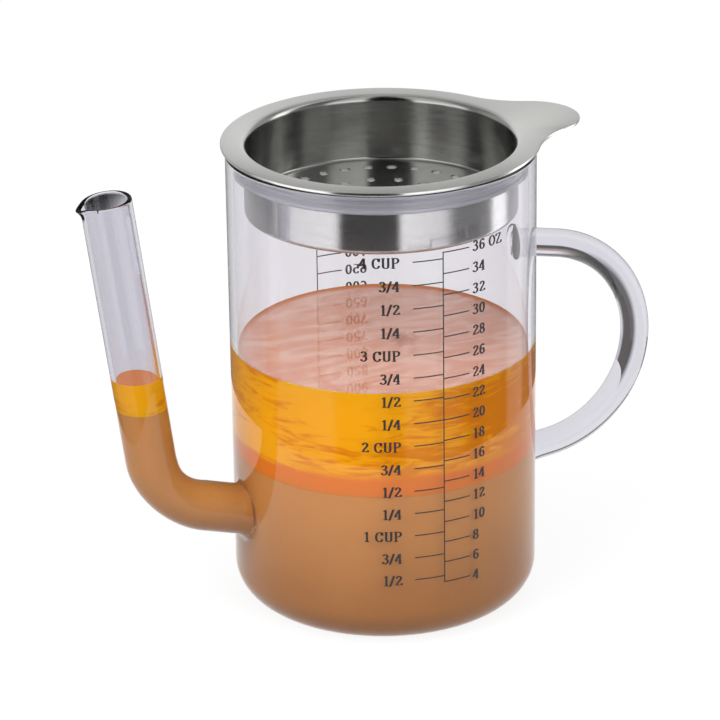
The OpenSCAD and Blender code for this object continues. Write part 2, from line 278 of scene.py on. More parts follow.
def turned(profile_at, angles):
    """A closed bmesh turned round Z; profile_at gives the same number of points at every angle."""
    bm = bmesh.new()
    profiles = [profile_at(a) for a in angles]
    rings = []
    for k, (r, z) in enumerate(profiles[0]):
        if r < 1e-7:
            rings.append([bm.verts.new((0, 0, z))])
        else:
            rings.append([bm.verts.new((p[k][0] * math.cos(a), p[k][0] * math.sin(a), p[k][1]))
                          for p, a in zip(profiles, angles)])
    pairs = list(zip(rings, rings[1:]))
    if len(rings[0]) > 1 and len(rings[-1]) > 1:
        pairs.append((rings[-1], rings[0]))
    for one, two in pairs:
        bridge(bm, one, two)
    return bm


def even(steps):
    return [math.tau * i / steps for i in range(steps)]


def piece(name, bm, finishes, crease=35):
    """Makes an object of a bmesh, its faces outwards and smooth up to the crease angle."""
    bmesh.ops.recalc_face_normals(bm, faces=bm.faces)
    mesh = bpy.data.meshes.new(name)
    bm.to_mesh(mesh)
    bm.free()
    return placed(name, mesh, finishes, crease)


def placed(name, mesh, finishes, crease=35):
    """Puts a mesh into the scene with its finishes, smooth up to the crease angle."""
    if not mesh.polygons:
        raise RuntimeError(name + " has no faces")
    mesh.shade_smooth()
    mesh.set_sharp_from_angle(angle=math.radians(crease))
    mesh.materials.clear()
    for finish in finishes:
        mesh.materials.append(finish)
    made = bpy.data.objects.new(name, mesh)
    bpy.context.scene.collection.objects.link(made)
    return made


def node_tree(name, sizes):
    """A Geometry Nodes tree with a geometry input and the named inputs."""
    tree = bpy.data.node_groups.new(name, "GeometryNodeTree")
    tree.interface.new_socket("Geometry", in_out="INPUT", socket_type="NodeSocketGeometry")
    for label, kind in sizes.items():
        tree.interface.new_socket(label, in_out="INPUT", socket_type="NodeSocket" + kind)
    tree.interface.new_socket("Geometry", in_out="OUTPUT", socket_type="NodeSocketGeometry")
    return tree, tree.nodes.new("NodeGroupInput").outputs


def close_tree(tree, geometry, finish):
    """Ends a tree: real geometry with its material."""
    real = add(tree, "GeometryNodeRealizeInstances", {"Geometry": geometry})
    final = add(tree, "GeometryNodeSetMaterial", {"Geometry": real.outputs[0], "Material": finish})
    add(tree, "NodeGroupOutput", {0: final.outputs[0]})


def grown(source, tree, values, name, finish, crease=35):
    """Runs a tree on an object and returns the result as a new object with a plain mesh."""
    modifier = source.modifiers.new(tree.name, "NODES")
    modifier.node_group = tree
    for item in tree.interface.items_tree:
        if item.in_out == "INPUT" and item.name in values:
            modifier[item.identifier] = values[item.name]
    bpy.context.view_layer.update()
    evaluated = source.evaluated_get(bpy.context.evaluated_depsgraph_get())
    mesh = bpy.data.meshes.new_from_object(evaluated)
    mesh.name = name
    source.modifiers.clear()
    bpy.data.objects.remove(source)
    return placed(name, mesh, [finish], crease)


def settle(made, body, slot, *nodes):
    """Puts a finished piece on its body and hides the CAD nodes it stands for; the slot is not used."""
    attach(made, body)
    if nodes:
        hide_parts(*nodes)


def face_up(made, least):
    """Gives the faces that look up, by at least this share, the piece's second finish."""
    for face in made.data.polygons:
        if face.normal.z > least:
            face.material_index = 1


def seen_sharply(tree):
    """1 for rays of the camera, of a mirror and through glass, 0 for light that falls softly."""
    path = add(tree, "ShaderNodeLightPath")
    sharp = add(tree, "ShaderNodeMath", {
        0: path.outputs["Is Camera Ray"], 1: path.outputs["Is Transmission Ray"]}, operation="ADD")
    every = add(tree, "ShaderNodeMath", {
        0: sharp.outputs[0], 1: path.outputs["Is Glossy Ray"]}, operation="ADD", use_clamp=True)
    return every.outputs[0]


# ---------------------------------------------------------------- finishes

def borosilicate():
    """Blown borosilicate: nearly clear, a little darker where it is looked through edge-on.
    Lamps shine through it, so what stands inside is lit."""
    tint = bpy.context.scene.separator_finishes.glass
    made, tree = material("borosilicate_glass")
    place = add(tree, "ShaderNodeTexCoord")
    # slow waves of the blown wall, about 25 mm long
    wave = add(tree, "ShaderNodeTexNoise", {
        "Vector": place.outputs["Object"], "Scale": 40.0, "Detail": 1.0})
    bump = add(tree, "ShaderNodeBump", {
        "Height": wave.outputs[0], "Strength": 0.12, "Distance": 0.2 * MM})
    # painted shade: the tube and rod get a greyer tint, standing in for the darker look through their
    # double walls and solid glass
    parts = add(tree, "ShaderNodeSeparateXYZ", {0: place.outputs["Object"]})
    aside = add(tree, "ShaderNodeMath", {0: parts.outputs[0]}, operation="ABSOLUTE")
    painted_grey_tube_and_rod = add(tree, "ShaderNodeMapRange", {
        "Value": aside.outputs[0], "From Min": JUG_RADIUS + 1 * MM, "From Max": JUG_RADIUS + 4 * MM})
    shade = add(tree, "ShaderNodeMix", {
        0: painted_grey_tube_and_rod.outputs[0], 6: tint, 7: linear("#E4E3E9")}, data_type="RGBA")
    glass = add(tree, "ShaderNodeBsdfPrincipled", {
        "Base Color": shade.outputs[2], "Transmission Weight": 1.0, "IOR": 1.473,
        "Roughness": 0.0, "Normal": bump.outputs[0]})
    clear = add(tree, "ShaderNodeBsdfTransparent", {"Color": grey(0.96)})
    path = add(tree, "ShaderNodeLightPath")
    both = add(tree, "ShaderNodeMixShader", {
        0: path.outputs["Is Shadow Ray"], 1: glass.outputs[0], 2: clear.outputs[0]})
    depth = add(tree, "ShaderNodeVolumeAbsorption", {"Color": linear("#B9B4C9"), "Density": 16.0})
    add(tree, "ShaderNodeOutputMaterial", {"Surface": both.outputs[0], "Volume": depth.outputs[0]})
    return made


def cylinder_place(tree):
    """The point on the object, its parts, the point laid flat, and its distance from the axis."""
    place = add(tree, "ShaderNodeTexCoord")
    parts = add(tree, "ShaderNodeSeparateXYZ", {0: place.outputs["Object"]})
    flat = add(tree, "ShaderNodeCombineXYZ", {0: parts.outputs[0], 1: parts.outputs[1]})
    radius = add(tree, "ShaderNodeVectorMath", {0: flat.outputs[0]}, operation="LENGTH")
    return place, parts, flat, radius


def brushed_steel():
    """Stainless steel spun and brushed round the cup: fine lines round it, so highlights stand
    upright on the walls, and a plain satin grain on the flat rim."""
    tint = bpy.context.scene.separator_finishes.steel
    cup = bpy.context.scene.separator_strainer.cup_radius
    made, tree = material("brushed_stainless_steel")
    place, parts, flat, radius = cylinder_place(tree)
    turning = add(tree, "ShaderNodeVectorMath", {0: flat.outputs[0]}, operation="NORMALIZE")
    spun = add(tree, "ShaderNodeVectorMath", {0: turning.outputs[0], "Scale": 0.004}, operation="SCALE")
    spun_parts = add(tree, "ShaderNodeSeparateXYZ", {0: spun.outputs[0]})
    across = add(tree, "ShaderNodeMath", {
        0: radius.outputs["Value"], 1: parts.outputs[2]}, operation="ADD")
    lines_at = add(tree, "ShaderNodeCombineXYZ", {
        0: spun_parts.outputs[0], 1: spun_parts.outputs[1], 2: across.outputs[0]})
    # brush lines about 0.35 mm apart, as coarse as shows
    fine = add(tree, "ShaderNodeTexNoise", {
        "Vector": lines_at.outputs[0], "Scale": 2800.0, "Detail": 3.0})
    broad = add(tree, "ShaderNodeTexNoise", {
        "Vector": lines_at.outputs[0], "Scale": 700.0, "Detail": 2.0})
    grain = add(tree, "ShaderNodeTexNoise", {
        "Vector": place.outputs["Object"], "Scale": 2200.0, "Detail": 2.0})
    on_rim = add(tree, "ShaderNodeMapRange", {
        "Value": parts.outputs[2], "From Min": RIM_TOP - 0.6 * MM, "From Max": RIM_TOP - 0.1 * MM})
    lines = add(tree, "ShaderNodeMath", {0: fine.outputs[0], 1: broad.outputs[0]}, operation="ADD")
    pattern = add(tree, "ShaderNodeMix", {
        0: on_rim.outputs[0], 2: lines.outputs[0], 3: grain.outputs[0]})
    shade = add(tree, "ShaderNodeMapRange", {
        "Value": pattern.outputs[0], "From Min": 0.3, "From Max": 1.5, "To Min": 0.9, "To Max": 1.04})
    # painted shade: the inside of the cup is painted darker than its outside
    painted_shade_inside = add(tree, "ShaderNodeMapRange", {
        "Value": radius.outputs["Value"], "From Min": cup - 0.5 * MM, "From Max": cup + 0.3 * MM,
        "To Min": 0.68, "To Max": 1.0})
    # skin: the brush lines' shade times the painted shade inside the cup
    skin = add(tree, "ShaderNodeMath", {0: shade.outputs[0], 1: painted_shade_inside.outputs[0]}, operation="MULTIPLY")
    tinted = add(tree, "ShaderNodeVectorMath", {0: tint[:3], "Scale": skin.outputs[0]}, operation="SCALE")
    rough = add(tree, "ShaderNodeMapRange", {
        "Value": pattern.outputs[0], "From Min": 0.3, "From Max": 1.5, "To Min": 0.15, "To Max": 0.24})
    satin = add(tree, "ShaderNodeMath", {
        0: on_rim.outputs[0], 1: 0.2, 2: rough.outputs[0]}, operation="MULTIPLY_ADD")
    bump = add(tree, "ShaderNodeBump", {
        "Height": pattern.outputs[0], "Strength": 0.18, "Distance": 0.02 * MM})
    round_axis = add(tree, "ShaderNodeTangent", direction_type="RADIAL", axis="Z")
    steel = add(tree, "ShaderNodeBsdfPrincipled", {
        "Base Color": tinted.outputs[0], "Metallic": 1.0, "Roughness": satin.outputs[0],
        "Anisotropic": 0.85, "Anisotropic Rotation": 0.25, "Normal": bump.outputs[0],
        "Tangent": round_axis.outputs[0]})
    add(tree, "ShaderNodeOutputMaterial", {"Surface": steel.outputs[0]})
    return made


def clear_silicone():
    """Moulded silicone rubber: milky, lets light through softly, slightly greasy to the eye."""
    tint = bpy.context.scene.separator_finishes.silicone
    made, tree = material("moulded_silicone")
    place = add(tree, "ShaderNodeTexCoord")
    # milky clouds about 3 mm across
    cloud = add(tree, "ShaderNodeTexNoise", {
        "Vector": place.outputs["Object"], "Scale": 300.0, "Detail": 3.0})
    rough = add(tree, "ShaderNodeMapRange", {"Value": cloud.outputs[0], "To Min": 0.28, "To Max": 0.42})
    bump = add(tree, "ShaderNodeBump", {
        "Height": cloud.outputs[0], "Strength": 0.1, "Distance": 0.05 * MM})
    body = add(tree, "ShaderNodeBsdfPrincipled", {
        "Base Color": tint, "Transmission Weight": 0.72, "IOR": 1.41,
        "Roughness": rough.outputs[0], "Normal": bump.outputs[0]})
    clear = add(tree, "ShaderNodeBsdfTransparent", {"Color": grey(0.6)})
    path = add(tree, "ShaderNodeLightPath")
    both = add(tree, "ShaderNodeMixShader", {
        0: path.outputs["Is Shadow Ray"], 1: body.outputs[0], 2: clear.outputs[0]})
    add(tree, "ShaderNodeOutputMaterial", {"Surface": both.outputs[0]})
    return made


def fired_ink():
    """Black enamel ink fired on the glass: dense, with a half-matt skin and faint thin spots."""
    tint = bpy.context.scene.separator_finishes.ink
    made, tree = material("fired_enamel_ink")
    place = add(tree, "ShaderNodeTexCoord")
    # thin spots about 0.7 mm across
    spots = add(tree, "ShaderNodeTexNoise", {
        "Vector": place.outputs["Object"], "Scale": 1500.0, "Detail": 2.0})
    rough = add(tree, "ShaderNodeMapRange", {"Value": spots.outputs[0], "To Min": 0.35, "To Max": 0.6})
    shade = add(tree, "ShaderNodeMapRange", {"Value": spots.outputs[0], "To Min": 0.7, "To Max": 1.5})
    tinted = add(tree, "ShaderNodeVectorMath", {
        0: tint[:3], "Scale": shade.outputs[0]}, operation="SCALE")
    enamel = add(tree, "ShaderNodeBsdfPrincipled", {
        "Base Color": tinted.outputs[0], "Roughness": rough.outputs[0]})
    add(tree, "ShaderNodeOutputMaterial", {"Surface": enamel.outputs[0]})
    return made


def cloudy_gravy():
    """Pan gravy: an opaque, slightly cloudy brown, painted darker towards the base as painted shade. The
    glass wets it, so its side has no shine of its own."""
    finishes = bpy.context.scene.separator_finishes
    made, tree = material("cloudy_gravy")
    place = add(tree, "ShaderNodeTexCoord")
    parts = add(tree, "ShaderNodeSeparateXYZ", {0: place.outputs["Object"]})
    # clouds about 22 mm across, and below them flecks of 0.7 mm
    cloud = add(tree, "ShaderNodeTexNoise", {
        "Vector": place.outputs["Object"], "Scale": 45.0, "Detail": 3.0})
    sway = add(tree, "ShaderNodeMath", {0: cloud.outputs[0], 1: 0.02}, operation="MULTIPLY")
    level = add(tree, "ShaderNodeMath", {0: parts.outputs[2], 1: sway.outputs[0]}, operation="ADD")
    # painted shade: the colour is painted darker towards the base, its edge swayed by the clouds
    depth = add(tree, "ShaderNodeMapRange", {
        "Value": level.outputs[0], "From Min": 0.012, "From Max": 0.066}, interpolation_type="SMOOTHSTEP")
    shade = add(tree, "ShaderNodeMix", {
        0: depth.outputs[0], 6: finishes.gravy_low, 7: finishes.gravy}, data_type="RGBA")
    specks = add(tree, "ShaderNodeTexNoise", {
        "Vector": place.outputs["Object"], "Scale": 1400.0, "Detail": 2.0})
    fleck = add(tree, "ShaderNodeMapRange", {
        "Value": specks.outputs[0], "From Min": 0.3, "From Max": 0.7, "To Min": 0.97, "To Max": 1.03})
    tinted = add(tree, "ShaderNodeVectorMath", {
        0: shade.outputs[2], "Scale": fleck.outputs[0]}, operation="SCALE")
    gravy = add(tree, "ShaderNodeBsdfPrincipled", {
        "Base Color": tinted.outputs[0], "Roughness": 0.5, "Specular IOR Level": 0.0,
        "Subsurface Weight": 0.25, "Subsurface Scale": 0.004, "Subsurface Radius": (1.0, 0.5, 0.2)})
    add(tree, "ShaderNodeOutputMaterial", {"Surface": gravy.outputs[0]})
    return made


def molten_fat():
    """Melted fat: a clear amber with bright stretched ripples of light painted into its colour as painted
    highlights, and a deeper orange band painted where it rests on the gravy, standing in for the gravy seen
    through the fat."""
    finishes = bpy.context.scene.separator_finishes
    made, tree = material("molten_fat")
    place = add(tree, "ShaderNodeTexCoord")
    parts = add(tree, "ShaderNodeSeparateXYZ", {0: place.outputs["Object"]})
    # ripples about 6 mm long and 1 mm tall
    stretch = add(tree, "ShaderNodeMapping", {
        "Vector": place.outputs["Object"], "Scale": (1.0, 1.0, 5.5)})
    warp = add(tree, "ShaderNodeTexNoise", {
        "Vector": stretch.outputs[0], "Scale": 70.0, "Detail": 4.0, "Roughness": 0.6, "Distortion": 1.2})
    broad = add(tree, "ShaderNodeTexNoise", {
        "Vector": place.outputs["Object"], "Scale": 22.0, "Detail": 1.0})
    veins = add(tree, "ShaderNodeMath", {0: warp.outputs[0], 1: broad.outputs[0]}, operation="ADD")
    # painted light: the side towards the spout is painted lighter
    painted_light_side = add(tree, "ShaderNodeMapRange", {
        "Value": parts.outputs[0], "From Min": 0.01, "From Max": -0.05, "To Min": 0.0, "To Max": 0.16})
    lit = add(tree, "ShaderNodeMath", {0: veins.outputs[0], 1: painted_light_side.outputs[0]}, operation="ADD")
    light = add(tree, "ShaderNodeMapRange", {
        "Value": lit.outputs[0], "From Min": 0.93, "From Max": 1.2}, interpolation_type="SMOOTHSTEP")
    # painted highlight: the bright ripples are painted into the fat's colour
    body = add(tree, "ShaderNodeMix", {
        0: light.outputs[0], 6: finishes.fat, 7: finishes.fat_light}, data_type="RGBA")
    # painted: the darker orange band at the bottom stands in for the gravy's surface seen through the clear
    # fat
    edge = add(tree, "ShaderNodeMath", {0: warp.outputs[0], 1: 0.008}, operation="MULTIPLY")
    level = add(tree, "ShaderNodeMath", {0: parts.outputs[2], 1: edge.outputs[0]}, operation="SUBTRACT")
    low = add(tree, "ShaderNodeMapRange", {
        "Value": level.outputs[0], "From Min": GRAVY_TOP + 1.5 * MM, "From Max": GRAVY_TOP + 3.5 * MM})
    shade = add(tree, "ShaderNodeMix", {
        0: low.outputs[0], 6: finishes.fat_low, 7: body.outputs[2]}, data_type="RGBA")
    fat = add(tree, "ShaderNodeBsdfPrincipled", {
        "Base Color": shade.outputs[2], "Roughness": 0.3, "Specular IOR Level": 0.0,
        "Subsurface Weight": 0.3, "Subsurface Scale": 0.006, "Subsurface Radius": (1.0, 0.5, 0.1)})
    add(tree, "ShaderNodeOutputMaterial", {"Surface": fat.outputs[0]})
    return made


def fat_surface():
    """The open surface of the fat: oily and mirror-smooth, with thin streaks of paler film and a
    small patch of brown foam."""
    finishes = bpy.context.scene.separator_finishes
    bore = JUG_RADIUS - bpy.context.scene.separator_jug.wall
    made, tree = material("fat_surface")
    place, _, flat, radius = cylinder_place(tree)
    # streaks of film about 22 mm long and 9 mm wide
    swirl = add(tree, "ShaderNodeMapping", {"Vector": place.outputs["Object"], "Scale": (1.0, 2.4, 1.0)})
    film = add(tree, "ShaderNodeTexNoise", {
        "Vector": swirl.outputs[0], "Scale": 45.0, "Detail": 5.0, "Distortion": 1.5})
    streak = add(tree, "ShaderNodeMapRange", {
        "Value": film.outputs[0], "From Min": 0.4, "From Max": 0.65})
    shade = add(tree, "ShaderNodeMix", {
        0: streak.outputs[0], 6: finishes.fat_top, 7: linear("#F2BCA2")}, data_type="RGBA")
    # foam gathers in a patch 12 mm wide, in front of the middle
    off = add(tree, "ShaderNodeVectorMath", {
        0: flat.outputs[0], 1: (6 * MM, -2 * MM, 0.0)}, operation="SUBTRACT")
    away = add(tree, "ShaderNodeVectorMath", {0: off.outputs[0]}, operation="LENGTH")
    bubbles = add(tree, "ShaderNodeTexNoise", {
        "Vector": place.outputs["Object"], "Scale": 500.0, "Detail": 3.0})
    ragged = add(tree, "ShaderNodeMath", {0: bubbles.outputs[0], 1: 0.012}, operation="MULTIPLY")
    reach = add(tree, "ShaderNodeMath", {0: away.outputs["Value"], 1: ragged.outputs[0]}, operation="ADD")
    foam = add(tree, "ShaderNodeMapRange", {
        "Value": reach.outputs[0], "From Min": 0.008, "From Max": 0.013, "To Min": 0.7, "To Max": 0.0})
    foamed = add(tree, "ShaderNodeMix", {
        0: foam.outputs[0], 6: shade.outputs[2], 7: linear("#B5541C")}, data_type="RGBA")
    # the thin climbing edge at the glass is clearer and more orange
    rim = add(tree, "ShaderNodeMapRange", {
        "Value": radius.outputs["Value"], "From Min": bore - 2 * MM, "From Max": bore - 0.2 * MM})
    rimmed = add(tree, "ShaderNodeMix", {
        0: rim.outputs[0], 6: foamed.outputs[2], 7: linear("#D9791F")}, data_type="RGBA")
    bump = add(tree, "ShaderNodeBump", {
        "Height": film.outputs[0], "Strength": 0.005, "Distance": 0.3 * MM})
    oil = add(tree, "ShaderNodeBsdfPrincipled", {
        "Base Color": rimmed.outputs[2], "Roughness": 0.01, "IOR": 1.6, "Normal": bump.outputs[0],
        "Subsurface Weight": 0.2, "Subsurface Scale": 0.004, "Subsurface Radius": (1.0, 0.5, 0.2)})
    add(tree, "ShaderNodeOutputMaterial", {"Surface": oil.outputs[0]})
    return made


FINISH_MAKERS = {
    "borosilicate_glass": borosilicate, "brushed_stainless_steel": brushed_steel,
    "moulded_silicone": clear_silicone, "fired_enamel_ink": fired_ink,
    "cloudy_gravy": cloudy_gravy, "molten_fat": molten_fat, "fat_surface": fat_surface,
}


def finish_of(name):
    """The material of that name, made the first time it is asked for."""
    return bpy.data.materials.get(name) or FINISH_MAKERS[name]()


# ---------------------------------------------------------------- the glass jug

def leg_direction(turn):
    return Vector((-math.cos(turn), 0, math.sin(turn)))


def leg_normal(turn):
    return Vector((math.sin(turn), 0, math.cos(turn)))


class BuildJug(bpy.types.Operator):
    """Turns the jug's glass from its wall profile"""
    bl_idname = "separator.jug"
    bl_label = "Glass jug"

    def execute(self, context):
        jug, spout = context.scene.separator_jug, context.scene.separator_spout
        r, c, w = jug.radius, jug.corner, jug.wall
        inner = c - w
        # the hollow under the base, then the bottom corner
        profile = [(0, jug.push_up), (r * 0.45, jug.push_up * 0.85), (r * 0.65, jug.push_up * 0.4)]
        profile += arc(r - c, c, c, -90, 0, 14)
        # rows of faces close to each bend keep its slope out of the straight wall's shading
        top = jug.height - jug.bead
        rows = [c + 0.3 * MM, c + 1 * MM] + [c + (top - c) * i / 36 for i in range(1, 36)]
        rows += [top - 1 * MM, top - 0.3 * MM]
        profile += [(r, z) for z in rows]
        profile += arc(r - jug.bead, top, jug.bead, 0, 180, 12)
        bore = r - w
        profile += [(bore, z) for z in reversed(rows)]
        profile += arc(bore - inner, jug.base + inner, inner, 0, -90, 12)
        profile += [(0, jug.base)]
        bm = turned(lambda a: profile, even(JUG_SIDES))
        piece("jug_body", bm, [finish_of("borosilicate_glass")])
        return {"FINISHED"}


# ---------------------------------------------------------------- the spout

def spout_line(spout, jug):
    """Stations along the tube's axis (point, direction, distance from the jug wall, share of the
    bend behind them), with the start and the direction of the tall leg."""
    up = math.pi / 2 - spout.lean
    wall = Vector((-jug.radius, 0, spout.join_height))
    low_end = wall + spout.leg * leg_direction(spout.rise)
    centre = low_end + spout.bend_radius * leg_normal(spout.rise)
    tall_start = centre - spout.bend_radius * leg_normal(up)
    tall = (jug.height - spout.drop - tall_start.z) / math.sin(up)
    line = []
    for i in range(13):
        near = spout.fillet * (i / 8) ** 1.5
        if i > 8:
            near = spout.fillet + (spout.leg - spout.fillet) * (i - 8) / 4
        line.append((wall + near * leg_direction(spout.rise), spout.rise, near, 0.0))
    bend_length = spout.bend_radius * (up - spout.rise)
    for i in range(1, 33):
        turn = spout.rise + (up - spout.rise) * i / 32
        point = centre - spout.bend_radius * leg_normal(turn)
        line.append((point, turn, spout.leg + bend_length * i / 32, i / 32))
    for i in range(1, 41):
        far = tall * (1 - (1 - i / 40) ** 1.3)
        line.append((tall_start + far * leg_direction(up), up, spout.leg + bend_length + far, 1.0))
    return line, tall_start, up


def tube_ring(spout, jug, station, radius, steps, inside=False):
    """One ring of points round the tube, flared and fitted to the jug's wall near the joint."""
    point, turn, far, bent = station
    flat = 1 - spout.flat * math.sin(math.pi * min(1.0, bent * 1.15)) if 0 < bent < 1 else 1.0
    swell = 0.0
    if far < spout.fillet and not inside:
        swell = spout.fillet - math.sqrt(max(0.0, spout.fillet ** 2 - (spout.fillet - far) ** 2))
    ring = []
    for i in range(steps):
        a = math.tau * i / steps
        out = radius + swell
        p = point + leg_normal(turn) * (out * flat * math.cos(a)) + Vector((0, out * math.sin(a), 0))
        if far < spout.leg:
            touch = -math.sqrt((jug.radius - FUSED_DEPTH) ** 2 - p.y ** 2)
            along = (touch - (p.x - point.x + (-jug.radius))) / leg_direction(turn).x
            p += leg_direction(turn) * (along * (1 - far / spout.leg) ** 2)
        ring.append(p)
    return ring


def mouth_pull(spout, p, mouth, up):
    """Draws the glass near the mouth out and down into a small pouring lip."""
    below = (mouth - p).dot(leg_direction(up))
    share = max(0.0, 1 - below / LIP_LENGTH) ** 2.2
    out = p - mouth + leg_direction(up) * below
    side = math.atan2(out.y, -out.dot(leg_normal(up)))
    narrow = max(0.0, math.cos(side)) ** 16
    return p + share * narrow * (spout.lip * -leg_normal(up) - LIP_DIP * leg_direction(up))


class BuildSpout(bpy.types.Operator):
    """Sweeps the spout tube along its bend, with a blown joint at the jug and a pouring lip"""
    bl_idname = "separator.spout"
    bl_label = "Spout"

    def execute(self, context):
        jug, spout = context.scene.separator_jug, context.scene.separator_spout
        line, _, up = spout_line(spout, jug)
        mouth = line[-1][0]
        bore = spout.radius - spout.wall
        half = spout.wall / 2
        rings = [tube_ring(spout, jug, s, spout.radius, TUBE_SIDES) for s in line[:-1]]
        for t in range(9):
            a = math.pi * t / 8
            back = half * (1 - math.sin(a)) if 0 < t < 8 else half
            rings.append(tube_ring(spout, jug, (mouth - back * leg_direction(up), up, 1.0, 1.0),
                                   bore + half + half * math.cos(a), TUBE_SIDES))
        rings += [tube_ring(spout, jug, s, bore, TUBE_SIDES, True) for s in reversed(line[:-1])]
        bm = bmesh.new()
        made = [[bm.verts.new(mouth_pull(spout, p, mouth, up)) for p in ring] for ring in rings]
        for one, two in zip(made, made[1:] + made[:1]):
            bridge(bm, one, two)
        piece("spout_body", bm, [finish_of("borosilicate_glass")], 50)
        return {"FINISHED"}


# ---------------------------------------------------------------- the handle

class BuildHandle(bpy.types.Operator):
    """Sweeps the glass rod along the handle's curve and melts its ends onto the jug wall"""
    bl_idname = "separator.handle"
    bl_label = "Handle"

    def path(self, jug, handle):
        """Points of the rod's axis with the rod's radius at each."""
        cx = jug.radius + handle.reach - handle.bend_radius
        top_x = cx + handle.bend_radius * math.sin(handle.top_fall)
        cz = handle.top - (top_x - jug.radius) * math.tan(handle.top_fall) \
            - handle.bend_radius * math.cos(handle.top_fall)
        low_x = cx + handle.bend_radius * math.sin(handle.low_rise)
        low = cz - handle.bend_radius * math.cos(handle.low_rise) \
            - (low_x - jug.radius) * math.tan(handle.low_rise)
        start = jug.radius - ROD_START
        legs = []
        for z, turn, leg_x in ((handle.top, -handle.top_fall, top_x), (low, handle.low_rise, low_x)):
            leg = []
            for i in range(22):
                x = start + (leg_x - start) * i / 22
                near = max(0.0, x - jug.radius)
                melt = handle.weld * math.exp(-(near / (1.1 * handle.weld)) ** 1.2)
                leg.append((Vector((x, 0, z + (x - jug.radius) * math.tan(turn))), handle.radius + melt))
            legs.append(leg)
        first, last = math.pi / 2 - handle.top_fall, -math.pi / 2 + handle.low_rise
        bend = []
        for i in range(73):
            t = first + (last - first) * i / 72
            x, z = cx + handle.bend_radius * math.cos(t), cz + handle.bend_radius * math.sin(t)
            bend.append((Vector((x, 0, z)), handle.radius))
        return legs[0] + bend + list(reversed(legs[1]))

    def execute(self, context):
        jug, handle = context.scene.separator_jug, context.scene.separator_handle
        points = self.path(jug, handle)
        data = bpy.data.meshes.new("handle_path")
        data.from_pydata([p for p, _ in points], [(i, i + 1) for i in range(len(points) - 1)], [])
        thickness = data.attributes.new("rod_radius", "FLOAT", "POINT")
        thickness.data.foreach_set("value", [radius for _, radius in points])
        path = bpy.data.objects.new("handle_path", data)
        context.scene.collection.objects.link(path)
        tree, given = node_tree("Glass rod", {
            "Sides": "Int", "Jug radius": "Float", "Jug height": "Float"})
        line = add(tree, "GeometryNodeMeshToCurve", {"Mesh": given["Geometry"]})
        stored = add(tree, "GeometryNodeInputNamedAttribute", {"Name": "rod_radius"}, data_type="FLOAT")
        section = add(tree, "GeometryNodeCurvePrimitiveCircle", {
            "Resolution": given["Sides"], "Radius": 1.0})
        swept = add(tree, "GeometryNodeCurveToMesh", {
            "Curve": line.outputs[0], "Profile Curve": section.outputs[0], "Scale": stored.outputs[0],
            "Fill Caps": True})
        rod = add(tree, "GeometryNodeFlipFaces", {"Mesh": swept.outputs[0]})
        core = add(tree, "GeometryNodeMeshCylinder", {
            "Vertices": 256, "Radius": given["Jug radius"], "Depth": given["Jug height"]})
        high = add(tree, "ShaderNodeCombineXYZ", {2: JUG_MIDDLE})
        stood = add(tree, "GeometryNodeTransform", {
            "Geometry": core.outputs[0], "Translation": high.outputs[0]})
        cut = add(tree, "GeometryNodeMeshBoolean", {
            "Mesh 1": rod.outputs[0], "Mesh 2": stood.outputs[0]}, operation="DIFFERENCE", solver="EXACT")
        close_tree(tree, cut.outputs[0], finish_of("borosilicate_glass"))
        grown(path, tree, {
            "Sides": handle.sides, "Jug radius": jug.radius - FUSED_DEPTH, "Jug height": jug.height},
            "handle_body", finish_of("borosilicate_glass"), 50)
        return {"FINISHED"}


class FuseGlass(bpy.types.Operator):
    """Melts the spout and the handle onto the jug, so that no skin is left inside the joints, and
    opens the wall into the spout"""
    bl_idname = "separator.fuse"
    bl_label = "Fused glass"

    def execute(self, context):
        jug, spout = context.scene.separator_jug, context.scene.separator_spout
        body, tube, rod = (bpy.data.objects[name] for name in ("jug_body", "spout_body", "handle_body"))
        tree, given = node_tree("Fused glass", {
            "Spout": "Object", "Handle": "Object", "Hole radius": "Float", "Hole depth": "Float",
            "Place": "Vector", "Turn": "Vector"})
        parts = [given["Geometry"]]
        for name in ("Spout", "Handle"):
            parts.append(add(tree, "GeometryNodeObjectInfo", {"Object": given[name]}).outputs["Geometry"])
        joined = add(tree, "GeometryNodeMeshBoolean", operation="UNION", solver="EXACT")
        for part in parts:
            tree.links.new(part, joined.inputs["Mesh 2"])
        cutter = add(tree, "GeometryNodeMeshCylinder", {
            "Vertices": 64, "Radius": given["Hole radius"], "Depth": given["Hole depth"]})
        laid = add(tree, "GeometryNodeTransform", {
            "Geometry": cutter.outputs[0], "Translation": given["Place"], "Rotation": given["Turn"]})
        cut = add(tree, "GeometryNodeMeshBoolean", {
            "Mesh 1": joined.outputs[0], "Mesh 2": laid.outputs[0]}, operation="DIFFERENCE", solver="EXACT")
        close_tree(tree, cut.outputs[0], finish_of("borosilicate_glass"))
        start = Vector((-jug.radius, 0, spout.join_height)) - leg_direction(spout.rise) * (jug.radius / 4)
        made = grown(body, tree, {
            "Spout": tube, "Handle": rod, "Hole radius": spout.radius - spout.wall - 0.05 * MM,
            "Hole depth": jug.radius / 2 + 2 * MM, "Place": start,
            "Turn": (0.0, -math.pi / 2 + spout.rise, 0.0)}, "fused_glass", finish_of("borosilicate_glass"))
        for used in (tube, rod):
            bpy.data.objects.remove(used)
        settle(made, "jug", "glass", "glass_jug", "spout_tube", "handle_rod")
        return {"FINISHED"}


# ---------------------------------------------------------------- the strainer and its seal

